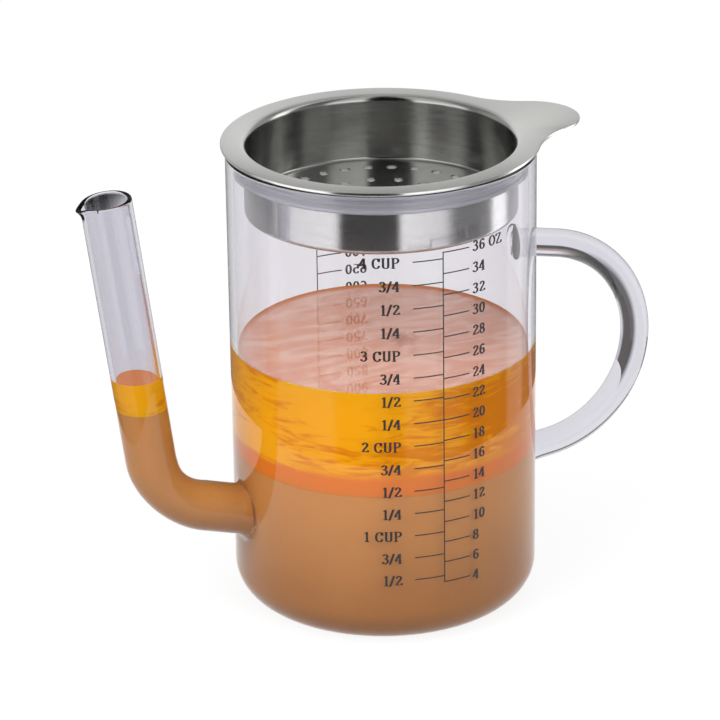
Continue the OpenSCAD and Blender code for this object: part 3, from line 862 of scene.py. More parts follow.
def rim_reach(sizes, a):
    """Distance from the axis to the rim's edge at an angle, round the rim and its thumb tab."""
    a = abs(math.remainder(a, math.tau))
    rim, end, blend = sizes.rim_radius, sizes.tab_end, sizes.tab_blend
    tab_x = rim + sizes.tab - end
    far, near = rim + blend, end + blend
    bx = (far ** 2 - near ** 2 + tab_x ** 2) / (2 * tab_x)
    by = math.sqrt(far ** 2 - bx ** 2)
    touch = (tab_x + (bx - tab_x) * end / near, by * end / near)
    if a <= math.atan2(touch[1], touch[0]):
        return tab_x * math.cos(a) + math.sqrt(end ** 2 - (tab_x * math.sin(a)) ** 2)
    if a <= math.atan2(by, bx):
        along = bx * math.cos(a) + by * math.sin(a)
        return along - math.sqrt(along ** 2 - far ** 2 + blend ** 2)
    return rim


class BuildStrainer(bpy.types.Operator):
    """Presses the strainer's rim, thumb tab and cup from one sheet and drills its floor"""
    bl_idname = "separator.strainer"
    bl_label = "Strainer"

    def profile(self, sizes, reach):
        """Section of the sheet at one angle, from the floor's underside round to its top."""
        s, e, cup, c = sizes.sheet, sizes.edge, sizes.cup_radius, sizes.corner
        bend_x, bend_z = cup + sizes.shoulder, RIM_TOP - s - sizes.shoulder
        points = [(0, CUP_BOTTOM)]
        points += arc(cup - c, CUP_BOTTOM + c, c, -90, 0, 8)
        points += arc(bend_x, bend_z, sizes.shoulder, 180, 90, 8)
        points += arc(reach - e, RIM_TOP - s + e, e, -90, 0, 3)
        points += arc(reach - e, RIM_TOP - e, e, 0, 90, 3)
        points += arc(bend_x, bend_z, sizes.shoulder + s, 90, 180, 12)
        points += arc(cup - c, CUP_BOTTOM + c, c - s, 0, -90, 8)
        points += [(cup * 0.75, CUP_BOTTOM + s), (cup * 0.4, CUP_BOTTOM + s), (0, CUP_BOTTOM + s)]
        return points

    def execute(self, context):
        sizes = context.scene.separator_strainer
        near_tab = [math.radians(-45 + 90 * i / 180) for i in range(180)]
        rest = [math.radians(45 + 270 * i / 216) for i in range(216)]
        bm = turned(lambda a: self.profile(sizes, rim_reach(sizes, a)), near_tab + rest)
        steel = finish_of("brushed_stainless_steel")
        pressing = piece("strainer_pressing", bm, [steel], 50)
        tree, given = node_tree("Drain holes", {
            "Outer ring": "Float", "Ring step": "Float", "Hole radius": "Float", "Bevel": "Float",
            "Floor": "Float", "Outer holes": "Int", "Middle holes": "Int", "Inner holes": "Int"})
        drill = add(tree, "GeometryNodeMeshCylinder", {
            "Vertices": HOLE_SIDES, "Radius": given["Hole radius"], "Depth": 4 * MM})
        wide = add(tree, "ShaderNodeMath", {0: given["Hole radius"], 1: given["Bevel"]}, operation="ADD")
        bevel = add(tree, "GeometryNodeMeshCone", {
            "Vertices": HOLE_SIDES, "Radius Top": wide.outputs[0], "Radius Bottom": given["Hole radius"],
            "Depth": given["Bevel"]})
        # each ring of holes with the turn of its first hole in degrees
        hole_rings = (("Outer holes", 10.3), ("Middle holes", 8.4), ("Inner holes", 0))
        cut = given["Geometry"]
        for tool, lift in ((drill.outputs[0], -1 * MM), (bevel.outputs[0], -0.3 * MM)):
            rings = add(tree, "GeometryNodeJoinGeometry")
            for step, (label, start) in enumerate(hole_rings):
                inward = add(tree, "ShaderNodeMath", {
                    0: given["Ring step"], 1: float(step)}, operation="MULTIPLY")
                radius = add(tree, "ShaderNodeMath", {
                    0: given["Outer ring"], 1: inward.outputs[0]}, operation="SUBTRACT")
                circle = add(tree, "GeometryNodeMeshCircle", {
                    "Vertices": given[label], "Radius": radius.outputs[0]})
                height = add(tree, "ShaderNodeMath", {0: given["Floor"], 1: lift}, operation="ADD")
                level = add(tree, "ShaderNodeCombineXYZ", {2: height.outputs[0]})
                placed_ring = add(tree, "GeometryNodeTransform", {
                    "Geometry": circle.outputs[0], "Translation": level.outputs[0],
                    "Rotation": (0.0, 0.0, math.radians(start))})
                tree.links.new(placed_ring.outputs[0], rings.inputs[0])
            holes = add(tree, "GeometryNodeInstanceOnPoints", {
                "Points": rings.outputs[0], "Instance": tool})
            real = add(tree, "GeometryNodeRealizeInstances", {"Geometry": holes.outputs[0]})
            solid = add(tree, "GeometryNodeMeshBoolean", {
                "Mesh 1": cut, "Mesh 2": real.outputs[0]}, operation="DIFFERENCE", solver="EXACT")
            cut = solid.outputs[0]
        close_tree(tree, cut, steel)
        made = grown(pressing, tree, {
            "Outer ring": sizes.cup_radius - sizes.hole_edge, "Ring step": sizes.hole_step,
            "Hole radius": sizes.hole, "Bevel": sizes.sink, "Floor": CUP_BOTTOM + sizes.sheet,
            "Outer holes": sizes.outer_holes, "Middle holes": sizes.middle_holes,
            "Inner holes": sizes.inner_holes}, "strainer_steel", steel, 40)
        settle(made, "strainer", "steel", "strainer")
        return {"FINISHED"}


class BuildSeal(bpy.types.Operator):
    """Turns the silicone ring with its flange, sleeve and sealing ribs"""
    bl_idname = "separator.seal"
    bl_label = "Seal ring"

    def execute(self, context):
        ring, strainer = context.scene.separator_seal, context.scene.separator_strainer
        low, top = ring.bottom, ring.top
        round_r = 0.35 * MM
        points = [(ring.inner + round_r, low)]
        for i in range(2):
            z = low + ring.rib_step * i
            points += [(ring.sleeve, z)] if i else []
            points += arc(ring.rib - 0.7 * MM, z + 0.8 * MM, 0.75 * MM, -80, 80, 8)
            points += [(ring.sleeve, z + 1.6 * MM)]
        points += [(ring.sleeve, top - 1.3 * MM), (ring.sleeve + 0.3 * MM, top - 1 * MM)]
        points += arc(ring.flange - 0.5 * MM, top - 0.5 * MM, 0.48 * MM, -90, 90, 8)
        bend_x = strainer.cup_radius + strainer.shoulder
        bend_z = RIM_TOP - strainer.sheet - strainer.shoulder
        points += [(bend_x + 0.2 * MM, top)]
        points += arc(bend_x, bend_z, strainer.shoulder - 0.3 * MM, 90, 180, 10)
        points += [(ring.inner, low + round_r)]
        bm = turned(lambda a: points, even(ROUND_SIDES))
        made = piece("silicone_seal", bm, [finish_of("moulded_silicone")], 40)
        settle(made, "seal_ring", "silicone", "seal_ring")
        return {"FINISHED"}


# ---------------------------------------------------------------- contents

class FillJug(bpy.types.Operator):
    """Fills the jug with gravy and a layer of fat that climbs a little at the glass"""
    bl_idname = "separator.fill_jug"
    bl_label = "Jug contents"

    def execute(self, context):
        jug, fill = context.scene.separator_jug, context.scene.separator_fill
        bore = jug.radius - jug.wall + fill.contact
        inner = jug.corner - jug.wall
        floor = jug.base - fill.contact
        points = [(0, floor), (bore * 0.5, floor)]
        points += arc(bore - inner, floor + inner, inner, -90, 0, 10)
        points += [(bore, fill.gravy * 0.6), (bore, fill.gravy), (bore * 0.5, fill.gravy), (0, fill.gravy)]
        bm = turned(lambda a: points, even(ROUND_SIDES))
        gravy = piece("gravy_in_jug", bm, [finish_of("cloudy_gravy")])
        settle(gravy, "jug", "gravy", "jug_gravy")
        climb = [(bore - 3 * MM * (1 - t) ** 0.8, fill.fat - fill.meniscus * (1 - t ** 3)) for t in
                 (1.0, 0.9, 0.75, 0.55, 0.3, 0.1, 0.0)]
        low = fill.gravy + LAYER_GAP
        points = [(0, low), (bore, low), (bore, (low + fill.fat) / 2)] + climb
        points += [(bore * 0.6, fill.fat - fill.meniscus), (0, fill.fat - fill.meniscus)]
        fat = piece("fat_in_jug", turned(lambda a: points, even(ROUND_SIDES)),
                    [finish_of("molten_fat"), finish_of("fat_surface")], 60)
        face_up(fat, 0.3)
        settle(fat, "jug", "fat", "jug_fat")
        return {"FINISHED"}


class FillSpout(bpy.types.Operator):
    """Fills the spout tube with gravy and its own short layer of fat"""
    bl_idname = "separator.fill_spout"
    bl_label = "Spout contents"

    def column(self, spout, jug, stations, bottom, top, contact):
        """A closed column of liquid along the stations, cut level at its bottom and top."""
        radius = spout.radius - spout.wall + contact
        bm = bmesh.new()
        rings = []
        for station in stations:
            ring = tube_ring(spout, jug, station, radius, COLUMN_SIDES, True)
            up = leg_direction(station[1])
            for p in ring:
                if top is not None and (p.z > top or station is stations[-1]):
                    p += up * ((top - p.z) / up.z)
                if bottom is not None and (p.z < bottom or station is stations[0]):
                    p += up * ((bottom - p.z) / up.z)
            rings.append([bm.verts.new(p) for p in ring])
        for one, two in zip(rings, rings[1:]):
            bridge(bm, one, two)
        bm.faces.new(rings[0])
        bm.faces.new(rings[-1])
        return bm

    def execute(self, context):
        scene = context.scene
        jug, spout, fill = scene.separator_jug, scene.separator_spout, scene.separator_fill
        line, tall_start, up = spout_line(spout, jug)
        tilt = spout.radius * math.sin(spout.lean)
        low = [s for s in line if s[2] < spout.leg or s[0].z < fill.spout_gravy - 1.2 * tilt]
        end = line[-1][2]

        def at(z):
            along = (z - tall_start.z) / math.sin(up)
            return (tall_start + along * leg_direction(up), up, end, 1.0)

        stations = low + [at(fill.spout_gravy)]
        bm = self.column(spout, jug, stations, None, fill.spout_gravy, fill.contact)
        gravy = piece("gravy_in_spout", bm, [finish_of("cloudy_gravy")], 40)
        settle(gravy, "jug", "gravy", "spout_gravy")
        base = fill.spout_gravy + LAYER_GAP
        stations = [at(base), at((base + fill.fat) / 2), at(fill.fat)]
        bm = self.column(spout, jug, stations, base, fill.fat, fill.contact)
        finishes = [finish_of("molten_fat"), finish_of("fat_surface")]
        fat = piece("fat_in_spout", bm, finishes, 40)
        face_up(fat, 0.8)
        settle(fat, "jug", "fat", "spout_fat")
        return {"FINISHED"}


# ---------------------------------------------------------------- printed scales

# Each figure is drawn by strokes of a broad pen in a box one unit high: a stroke is a run of
# points, rounded unless it starts with "line"; the last number is the figure's width.
def oval(cx, cy, rx, ry, start=90, sweep=360):
    turns = [math.radians(start + sweep * i / 24) for i in range(25)]
    return [(cx + rx * math.cos(t), cy + ry * math.sin(t)) for t in turns]


FIGURES = {
    "0": ([oval(.33, .5, .20, .455)], 0.66),
    "1": ([["line", (.35, .0), (.35, 1.0)], ["line", (.17, .035), (.53, .035)],
           ["line", (.18, .82), (.35, .93)]], 0.62),
    "2": ([[(.17, .73), (.19, .86), (.33, .955), (.50, .84), (.48, .64), (.30, .38), (.13, .10)],
           ["line", (.12, .09), (.52, .09)], ["line", (.56, .06), (.57, .24)]], 0.66),
    "3": ([[(.17, .80), (.22, .92), (.35, .955), (.48, .83), (.45, .63), (.27, .535)],
           [(.27, .535), (.47, .46), (.52, .25), (.41, .08), (.27, .045), (.15, .12), (.15, .22)]], 0.66),
    "4": ([["line", (.42, .97), (.08, .30)], ["line", (.05, .285), (.60, .285)],
           ["line", (.43, .97), (.43, .0)], ["line", (.27, .035), (.59, .035)]], 0.66),
    "5": ([["line", (.17, .93), (.52, .93)], ["line", (.17, .95), (.14, .50)],
           [(.14, .50), (.27, .61), (.44, .56), (.52, .34), (.45, .12), (.29, .045), (.16, .12),
            (.15, .22)]], 0.66),
    "6": ([[(.50, .80), (.44, .93), (.31, .93), (.18, .76), (.14, .48), (.17, .20), (.31, .045),
            (.47, .12), (.53, .31), (.46, .52), (.32, .575), (.19, .49), (.15, .36)]], 0.66),
    "7": ([["line", (.12, .91), (.57, .91)], ["line", (.11, .74), (.11, .96)],
           [(.56, .90), (.42, .62), (.31, .32), (.29, .0)]], 0.64),
    "8": ([oval(.33, .735, .16, .22), oval(.33, .27, .20, .23)], 0.66),
    "9": ([[(.16, .20), (.22, .07), (.35, .07), (.48, .24), (.52, .52), (.49, .80), (.35, .955),
            (.19, .88), (.13, .69), (.20, .48), (.34, .425), (.47, .51), (.51, .64)]], 0.66),
    "/": ([["line", (.02, -.06), (.36, 1.02)]], 0.40),
    "C": ([[(.59, .70), (.54, .88), (.40, .955), (.20, .83), (.13, .5), (.20, .17), (.40, .045),
            (.56, .13), (.62, .30)], ["line", (.62, .66), (.62, .98)]], 0.74),
    "U": ([["line", (.19, .97), (.19, .30)],
           [(.19, .34), (.22, .13), (.40, .045), (.57, .13), (.60, .34)],
           ["line", (.60, .34), (.60, .97)], ["line", (.05, .965), (.34, .965)],
           ["line", (.48, .965), (.73, .965)]], 0.78),
    "P": ([["line", (.20, .0), (.20, 1.0)], ["line", (.05, .035), (.37, .035)],
           ["line", (.05, .965), (.34, .965)],
           [(.20, .96), (.43, .95), (.58, .85), (.58, .63), (.43, .50), (.20, .49)]], 0.72),
    "O": ([oval(.40, .5, .27, .455)], 0.80),
    "Z": ([["line", (.09, .95), (.60, .95)], ["line", (.07, .76), (.08, .97)],
           ["line", (.56, .92), (.12, .08)], ["line", (.08, .05), (.62, .05)],
           ["line", (.63, .03), (.65, .26)]], 0.72),
    "M": ([["line", (.16, .02), (.16, .97)], ["line", (.16, .97), (.44, .04)],
           ["line", (.44, .04), (.74, .97)],
           ["line", (.74, .97), (.74, .02)], ["line", (.03, .035), (.30, .035)],
           ["line", (.60, .035), (.88, .035)]], 0.92),
    "L": ([["line", (.20, .0), (.20, 1.0)], ["line", (.05, .965), (.36, .965)],
           ["line", (.05, .04), (.62, .04)],
           ["line", (.62, .03), (.64, .32)]], 0.70),
    " ": ([], 0.34),
}
# half the pen's width across and up, and the figures' width over the drawn one
PEN_WIDE = 0.095
PEN_TALL = 0.042
FIGURE_SPREAD = 1.12


def rounded(points, steps=5):
    """A smooth run through the points."""
    points = [Vector((x, y, 0)) for x, y in points]
    ends = [2 * points[0] - points[1]] + points + [2 * points[-1] - points[-2]]
    run = []
    for a, b, c, d in zip(ends, ends[1:], ends[2:], ends[3:]):
        for i in range(steps):
            t = i / steps
            run.append(0.5 * (2 * b + (c - a) * t + (2 * a - 5 * b + 4 * c - d) * t * t
                              + (3 * b - 3 * c + d - a) * t ** 3))
    return run + [points[-1]]


def pen_stroke(bm, stroke, left, low, high):
    """Adds one stroke as a thin closed strip; x runs round the jug, y out of it and z up."""
    if stroke[0] == "line":
        run = [Vector((x, y, 0)) for x, y in stroke[1:]]
    else:
        run = rounded(stroke)
    rows = []
    for i, p in enumerate(run):
        along = (run[min(i + 1, len(run) - 1)] - run[max(i - 1, 0)]).normalized()
        side = Vector((-along.y, along.x, 0))
        reach = Vector((PEN_WIDE ** 2 * side.x, PEN_TALL ** 2 * side.y, 0))
        reach /= math.hypot(PEN_WIDE * side.x, PEN_TALL * side.y)
        row = []
        for q in (p + reach, p - reach):
            for out in (0.0, 1.0):
                row.append(bm.verts.new((left + q.x * high * FIGURE_SPREAD, out, low + q.y * high)))
        rows.append([row[0], row[1], row[3], row[2]])
    for one, two in zip(rows, rows[1:]):
        bridge(bm, one, two)
    bm.faces.new(rows[0])
    bm.faces.new(rows[-1])


def figures(bm, text, x, z, high, align):
    """Adds a label with its middle at height z; align is 0 from its left end, 1 from its right."""
    wide = sum(FIGURES[c][1] for c in text) * high * FIGURE_SPREAD
    left = x - wide * align
    for c in text:
        strokes, step = FIGURES[c]
        for stroke in strokes:
            pen_stroke(bm, stroke, left, z - high / 2, high)
        left += step * high * FIGURE_SPREAD


def label_piece(labels, high, x, align):
    """The flat figures of one scale, as an object that the printing tree takes."""
    bm = bmesh.new()
    for z, text in labels:
        figures(bm, text, x, z, high, align)
    bmesh.ops.recalc_face_normals(bm, faces=bm.faces)
    mesh = bpy.data.meshes.new("figures")
    bm.to_mesh(mesh)
    bm.free()
    made = bpy.data.objects.new("figures", mesh)
    bpy.context.scene.collection.objects.link(made)
    return made


def printing_tree():
    """Repeats a scale's marks up the jug, adds its upright line and wraps all of it round the
    jug's wall. Its input holds the flat figures, one unit of ink thick."""
    tree, given = node_tree("Printed scale", {
        "Jug radius": "Float", "Upright angle": "Float", "Ink": "Float", "Line width": "Float",
        "First mark": "Float", "Mark step": "Float", "Marks": "Int", "Mark length": "Float",
        "Side": "Float", "Upright height": "Float", "Upright middle": "Float"})
    first = add(tree, "ShaderNodeCombineXYZ", {2: given["First mark"]})
    step = add(tree, "ShaderNodeCombineXYZ", {2: given["Mark step"]})
    points = add(tree, "GeometryNodeMeshLine", {
        "Count": given["Marks"], "Start Location": first.outputs[0], "Offset": step.outputs[0]})
    size = add(tree, "ShaderNodeCombineXYZ", {0: given["Mark length"], 1: 1.0, 2: given["Line width"]})
    bar = add(tree, "GeometryNodeMeshCube", {"Size": size.outputs[0], "Vertices X": 14})
    middle = add(tree, "ShaderNodeMath", {
        0: given["Mark length"], 1: given["Side"]}, operation="MULTIPLY")
    half = add(tree, "ShaderNodeMath", {0: middle.outputs[0], 1: 0.5}, operation="MULTIPLY")
    offset = add(tree, "ShaderNodeCombineXYZ", {0: half.outputs[0], 1: 0.5})
    aside = add(tree, "GeometryNodeTransform", {
        "Geometry": bar.outputs[0], "Translation": offset.outputs[0]})
    marks = add(tree, "GeometryNodeInstanceOnPoints", {
        "Points": points.outputs[0], "Instance": aside.outputs[0]})
    real = add(tree, "GeometryNodeRealizeInstances", {"Geometry": marks.outputs[0]})
    tall = add(tree, "ShaderNodeCombineXYZ", {0: given["Line width"], 1: 1.0, 2: given["Upright height"]})
    post = add(tree, "GeometryNodeMeshCube", {"Size": tall.outputs[0]})
    lift = add(tree, "ShaderNodeCombineXYZ", {1: 0.5, 2: given["Upright middle"]})
    stood = add(tree, "GeometryNodeTransform", {
        "Geometry": post.outputs[0], "Translation": lift.outputs[0]})
    joined = add(tree, "GeometryNodeJoinGeometry")
    for part in (stood.outputs[0], real.outputs[0], given["Geometry"]):
        tree.links.new(part, joined.inputs[0])
    at = add(tree, "GeometryNodeInputPosition")
    parts = add(tree, "ShaderNodeSeparateXYZ", {0: at.outputs[0]})
    ink = add(tree, "ShaderNodeMath", {0: parts.outputs[1], 1: given["Ink"]}, operation="MULTIPLY")
    radius = add(tree, "ShaderNodeMath", {0: given["Jug radius"], 1: ink.outputs[0]}, operation="ADD")
    turn = add(tree, "ShaderNodeMath", {0: parts.outputs[0], 1: given["Jug radius"]}, operation="DIVIDE")
    bearing = add(tree, "ShaderNodeMath", {
        0: turn.outputs[0], 1: given["Upright angle"]}, operation="ADD")
    where = []
    for operation in ("COSINE", "SINE"):
        share = add(tree, "ShaderNodeMath", {0: bearing.outputs[0]}, operation=operation)
        out = add(tree, "ShaderNodeMath", {
            0: share.outputs[0], 1: radius.outputs[0]}, operation="MULTIPLY")
        where.append(out.outputs[0])
    wrapped = add(tree, "ShaderNodeCombineXYZ", {0: where[0], 1: where[1], 2: parts.outputs[2]})
    moved = add(tree, "GeometryNodeSetPosition", {
        "Geometry": joined.outputs[0], "Position": wrapped.outputs[0]})
    close_tree(tree, moved.outputs[0], finish_of("fired_enamel_ink"))
    return tree


class PrintScales(bpy.types.Operator):
    """Prints the ounce, cup and millilitre scales with their figures on the jug"""
    bl_idname = "separator.scales"
    bl_label = "Printed scales"

    def execute(self, context):
        jug, scale = context.scene.separator_jug, context.scene.separator_scale
        bore = jug.radius - jug.wall
        ounce_step = IMPERIAL_OUNCE / (math.pi * bore ** 2)
        ml_step = MILLILITRE / (math.pi * bore ** 2)
        first, r, line = scale.ounce_first, jug.radius, scale.line

        def ml_height(ml, lift):
            return first + ml * ml_step - 4 * ounce_step + lift

        ounces = [(first + (oz - 4) * ounce_step, str(oz) + (" OZ" if oz == 36 else ""))
                  for oz in range(4, 37, 2)]
        names = {0: " CUP", 1: "1/4", 2: "1/2", 3: "3/4"}
        cups = []
        for quarters in range(2, 17):
            text = names[quarters % 4] if quarters % 4 else str(quarters // 4) + " CUP"
            cups.append((ml_height(quarters * QUARTER_CUP, scale.cup_lift), text))
        mls = [(ml_height(ml, scale.ml_lift), str(ml) + (" ML" if ml == 1000 else ""))
               for ml in range(100, 1001, 50)]
        ink = finish_of("fired_enamel_ink")
        tree = printing_tree()
        # name, marks, bearing, mark length, side, step, gap, whether it has an upright line, CAD nodes
        rows = [
            ("ounce_scale", ounces, FRONT, scale.ounce_mark, 1, 2 * ounce_step, scale.gap, True,
             ["cup_oz_scale"]),
            ("cup_scale", cups, FRONT, scale.cup_mark, -1, QUARTER_CUP * ml_step, scale.cup_gap, False,
             []),
            ("millilitre_scale", mls, scale.ml_bearing, scale.ml_mark, -1, 50 * ml_step, scale.gap, True,
             ["ml_scale"]),
        ]
        for name, labels, bearing, mark, side, step, gap, upright, nodes in rows:
            reach = mark * r
            if side > 0:
                flat = label_piece(labels, scale.figure, reach + gap, 0)
            else:
                flat = label_piece(labels, scale.figure, -reach - gap, 1)
            low, high = labels[0][0], labels[-1][0]
            made = grown(flat, tree, {
                "Jug radius": r, "Upright angle": bearing, "Ink": scale.ink, "Line width": line,
                "First mark": low, "Mark step": step, "Marks": len(labels), "Mark length": reach,
                "Side": float(side), "Upright height": (high - low + line) if upright else line,
                "Upright middle": (low + high) / 2 if upright else low}, name, ink)
            settle(made, "jug", "ink", *nodes)
        return {"FINISHED"}


# ---------------------------------------------------------------- studio

def pale_paper(level):
    """White seamless paper: it keeps the soft shadow, and reads as white in the picture."""
    made, tree = material("white_seamless_paper")
    place = add(tree, "ShaderNodeTexCoord")
    tooth = add(tree, "ShaderNodeTexNoise", {"Vector": place.outputs["Object"], "Scale": 400.0})
    shade = add(tree, "ShaderNodeMapRange", {"Value": tooth.outputs[0], "To Min": 0.88, "To Max": 0.91})
    paper = add(tree, "ShaderNodeBsdfDiffuse", {"Color": shade.outputs[0]})
    white = add(tree, "ShaderNodeEmission", {"Color": grey(1.0), "Strength": 1.0})
    seen = add(tree, "ShaderNodeMixShader", {0: level, 1: paper.outputs[0], 2: white.outputs[0]})
    both = add(tree, "ShaderNodeMixShader", {
        0: seen_sharply(tree), 1: paper.outputs[0], 2: seen.outputs[0]})
    add(tree, "ShaderNodeOutputMaterial", {"Surface": both.outputs[0]})
    return made


def card_ring(bearing):
    """The cards round the set, seen only in reflections and through glass: softboxes to both
    sides of the camera, a black card behind it, grey flags at the sides and white at the back."""
    made, tree = material("studio_cards")
    place = add(tree, "ShaderNodeTexCoord")
    turned_to = add(tree, "ShaderNodeMapping", {
        "Vector": place.outputs["Object"], "Rotation": (0.0, 0.0, -bearing)})
    parts = add(tree, "ShaderNodeSeparateXYZ", {0: turned_to.outputs[0]})
    around = add(tree, "ShaderNodeMath", {0: parts.outputs[1], 1: parts.outputs[0]}, operation="ARCTAN2")
    share = add(tree, "ShaderNodeMapRange", {
        "Value": around.outputs[0], "From Min": -math.pi, "From Max": math.pi})

    def hung_at(*cards):
        """Stops of a ramp from bearings in degrees, 0 behind the camera, and the cards' levels."""
        return [(0.5 + degrees / 360, grey(shade)) for degrees, shade in cards]

    seen = add(tree, "ShaderNodeValToRGB", {0: share.outputs[0]}, stops=hung_at(
        (-180, 1.0), (-160, 1.0), (-150, 0.55), (-112, 0.55), (-92, 0.28), (-84, 1.5), (-34, 1.8),
        (-30, 0.0), (12, 0.0), (15, 1.8), (48, 1.4), (56, 0.3), (92, 0.3), (96, 2.6), (112, 2.6),
        (117, 0.55), (150, 0.55), (160, 1.0)))
    ceiling = add(tree, "ShaderNodeMapRange", {
        "Value": parts.outputs[2], "From Min": 0.27, "From Max": 0.32, "To Min": 1.0, "To Max": 0.5})
    path = add(tree, "ShaderNodeLightPath")
    # the glass's own skin mirrors the cards at a third of their level, as a polarising filter would
    first = add(tree, "ShaderNodeMath", {
        0: path.outputs["Transmission Depth"], 1: 0.5}, operation="LESS_THAN")
    skin = add(tree, "ShaderNodeMath", {
        0: path.outputs["Is Singular Ray"], 1: first.outputs[0]}, operation="MULTIPLY")
    calm = add(tree, "ShaderNodeMath", {0: skin.outputs[0], 1: -0.7, 2: 1.0}, operation="MULTIPLY_ADD")
    level = add(tree, "ShaderNodeMath", {0: ceiling.outputs[0], 1: calm.outputs[0]}, operation="MULTIPLY")
    hung = add(tree, "ShaderNodeVectorMath", {
        0: seen.outputs[0], "Scale": level.outputs[0]}, operation="SCALE")
    # through one solid rod: wide dark flags at the sides and a dark strip above draw its contours
    flags = add(tree, "ShaderNodeValToRGB", {0: share.outputs[0]}, stops=hung_at(
        (-180, 1.0), (-156, 1.0), (-148, 0.12), (-126, 0.12), (-120, 0.8), (-108, 0.8), (-102, 0.12),
        (-80, 0.3), (-60, 1.0), (60, 1.0), (80, 0.3), (102, 0.12), (108, 0.8), (120, 0.8),
        (126, 0.12), (148, 0.12), (156, 1.0)))
    # the strip's stops are heights in metres
    strip = add(tree, "ShaderNodeValToRGB", {0: parts.outputs[2]}, stops=[
        (0.0, grey(1.0)), (0.076, grey(1.0)), (0.08, grey(0.1)), (0.1, grey(0.14)),
        (0.104, linear("#9C8474")), (0.125, linear("#C9B8AC")), (0.13, grey(1.0)), (0.165, grey(1.0)),
        (0.17, grey(0.1)), (0.205, grey(0.2)), (0.215, grey(0.95))])
    lined = add(tree, "ShaderNodeVectorMath", {
        0: flags.outputs[0], 1: strip.outputs[0]}, operation="MULTIPLY")
    through = add(tree, "ShaderNodeValToRGB", {0: share.outputs[0]}, stops=hung_at(
        (-180, 0.98), (-108, 0.98), (-98, 0.75), (-82, 0.75), (-72, 0.98), (72, 0.98), (82, 0.75),
        (98, 0.75), (108, 0.98)))
    glossy = add(tree, "ShaderNodeMath", {
        0: path.outputs["Glossy Depth"], 1: 0.5}, operation="GREATER_THAN")
    # what bounces inside the glass keeps to the pale cards, so that its edges stay thin lines
    inside = add(tree, "ShaderNodeMath", {
        0: path.outputs["Transmission Depth"], 1: 2.0, 2: 1.6}, operation="COMPARE")
    mirrored = add(tree, "ShaderNodeMath", {
        0: glossy.outputs[0], 1: inside.outputs[0]}, operation="SUBTRACT", use_clamp=True)
    twice = add(tree, "ShaderNodeMath", {
        0: path.outputs["Transmission Depth"], 1: 2.0, 2: 0.5}, operation="COMPARE")
    solid = add(tree, "ShaderNodeMath", {0: twice.outputs[0], 1: glossy.outputs[0]}, operation="SUBTRACT",
                use_clamp=True)
    refracted = add(tree, "ShaderNodeMix", {
        0: solid.outputs[0], 6: through.outputs[0], 7: lined.outputs[0]}, data_type="RGBA")
    picked = add(tree, "ShaderNodeMix", {
        0: mirrored.outputs[0], 6: refracted.outputs[2], 7: hung.outputs[0]}, data_type="RGBA")
    light = add(tree, "ShaderNodeEmission", {"Color": picked.outputs[2], "Strength": 1.0})
    add(tree, "ShaderNodeOutputMaterial", {"Surface": light.outputs[0]})
    return made


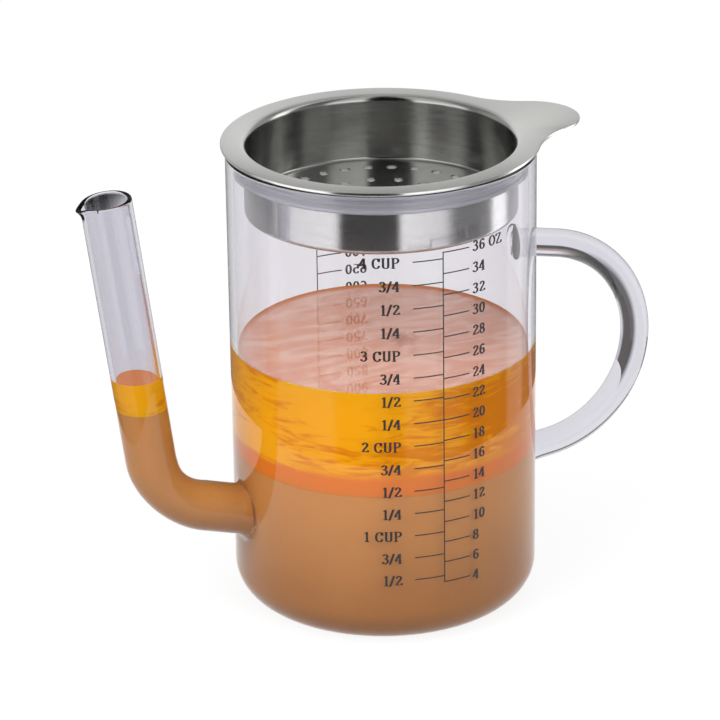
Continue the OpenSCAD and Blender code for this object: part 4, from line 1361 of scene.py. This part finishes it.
class BuildStudio(bpy.types.Operator):
    """Lays the floor, hangs the lamps and cards and sets up the camera and the soft light"""
    bl_idname = "separator.studio"
    bl_label = "Studio"

    def floor_and_cards(self, studio):
        bm = bmesh.new()
        bmesh.ops.create_grid(bm, x_segments=1, y_segments=1, size=4.0)
        floor = piece("floor", bm, [pale_paper(0.86)])
        for v in floor.data.vertices:
            v.co.z = -PAPER_DEPTH
        r = studio.drum
        section = [(r, 0.5 * MM), (r, 0.5), (r * 0.8, 0.62), (r * 0.4, 0.7), (0, 0.72)]
        bm = turned(lambda a: section, even(CARD_SIDES))
        cards = piece("cards", bm, [card_ring(studio.azimuth - math.pi / 2)])
        cards.visible_camera = cards.visible_diffuse = cards.visible_shadow = False
        cards.visible_volume_scatter = False

    def lamps(self, studio):
        """Soft boxes at plain levels: name, bearing from the camera, height, distance, size, watts."""
        for name, bearing, high, away, wide, watts in (
                ("key_lamp", -50, 40, 1.1, 0.7, 9.0), ("fill_lamp", 45, 30, 1.2, 0.8, 6.5),
                ("top_lamp", 10, 80, 1.2, 0.9, 4.5)):
            data = bpy.data.lights.new(name, "AREA")
            data.energy, data.size = watts, wide
            lamp = bpy.data.objects.new(name, data)
            a, e = studio.azimuth + math.radians(bearing), math.radians(high)
            back = Vector((math.sin(a) * math.cos(e), -math.cos(a) * math.cos(e), math.sin(e)))
            lamp.location = Vector((0, 0, JUG_MIDDLE)) + back * away
            lamp.rotation_euler = (-back).to_track_quat("-Z", "Y").to_euler()
            lamp.visible_glossy = lamp.visible_transmission = False
            bpy.context.scene.collection.objects.link(lamp)

    def surroundings(self, studio):
        world = bpy.data.worlds.new("soft_white_room")
        world.use_nodes = True
        tree = world.node_tree
        tree.nodes.clear()
        room = add(tree, "ShaderNodeBackground", {"Color": grey(1.0), "Strength": studio.ambient})
        white = add(tree, "ShaderNodeBackground", {"Color": grey(1.0), "Strength": 1.0})
        both = add(tree, "ShaderNodeMixShader", {
            0: seen_sharply(tree), 1: room.outputs[0], 2: white.outputs[0]})
        add(tree, "ShaderNodeOutputWorld", {"Surface": both.outputs[0]})
        bpy.context.scene.world = world

    def camera(self, studio):
        """The camera looks past the jug's middle by the picture's own framing, without shift."""
        data = bpy.data.cameras.new("camera")
        data.lens, data.sensor_width = studio.lens / MM, SENSOR
        a, e = studio.azimuth, studio.elevation
        back = Vector((math.sin(a) * math.cos(e), -math.cos(a) * math.cos(e), math.sin(e)))
        right = Vector((math.cos(a), math.sin(a), 0))
        up = back.cross(right)
        focal = studio.lens / MM / SENSOR * PICTURE
        across, down = ((pixel - PICTURE / 2) / focal for pixel in SIGHT)
        aim = (-back - right * across + up * down).normalized()
        level = aim.cross(Vector((0, 0, 1))).normalized()
        over = level.cross(aim)
        c, s = math.cos(studio.roll), math.sin(studio.roll)
        x, y = c * level + s * over, c * over - s * level
        made = bpy.data.objects.new("camera", data)
        place = Vector((0, 0, JUG_MIDDLE)) + back * studio.distance
        made.matrix_world = Matrix.Translation(place) @ Matrix((x, y, -aim)).transposed().to_4x4()
        data.clip_start, data.clip_end = 0.05, 20
        bpy.context.scene.collection.objects.link(made)
        bpy.context.scene.camera = made

    def execute(self, context):
        studio = context.scene.separator_studio
        self.floor_and_cards(studio)
        self.lamps(studio)
        self.surroundings(studio)
        self.camera(studio)
        context.scene.view_settings.view_transform = "Standard"
        return {"FINISHED"}


# ---------------------------------------------------------------- add-on

GROUPS = {
    "separator_jug": JugSizes, "separator_spout": SpoutSizes, "separator_handle": HandleSizes,
    "separator_strainer": StrainerSizes, "separator_seal": SealSizes, "separator_scale": ScaleSizes,
    "separator_fill": FillLevels, "separator_finishes": Finishes, "separator_studio": StudioSettings,
}
OPERATORS = (
    BuildJug, BuildSpout, BuildHandle, FuseGlass, BuildStrainer, BuildSeal, FillJug, FillSpout,
    PrintScales, BuildStudio)


class SeparatorPanel(bpy.types.Panel):
    """Lists the sizes, colours and building steps of the separator"""
    bl_idname = "VIEW3D_PT_separator"
    bl_label = "Gravy fat separator"
    bl_space_type = "VIEW_3D"
    bl_region_type = "UI"
    bl_category = "Separator"

    def draw(self, context):
        for name, group in GROUPS.items():
            box = self.layout.box()
            box.label(text=name.split("_")[1].capitalize())
            for field in group.__annotations__:
                box.prop(getattr(context.scene, name), field)
        for operator in OPERATORS:
            self.layout.operator(operator.bl_idname)


def register():
    for cls in (*GROUPS.values(), *OPERATORS, SeparatorPanel):
        bpy.utils.register_class(cls)
    for name, group in GROUPS.items():
        setattr(bpy.types.Scene, name, bpy.props.PointerProperty(type=group))


def unregister():
    for name in GROUPS:
        delattr(bpy.types.Scene, name)
    for cls in reversed((*GROUPS.values(), *OPERATORS, SeparatorPanel)):
        bpy.utils.unregister_class(cls)


def main():
    register()
    for operator in OPERATORS:
        group, name = operator.bl_idname.split(".")
        getattr(getattr(bpy.ops, group), name)()


if __name__ == "__main__":
    main()
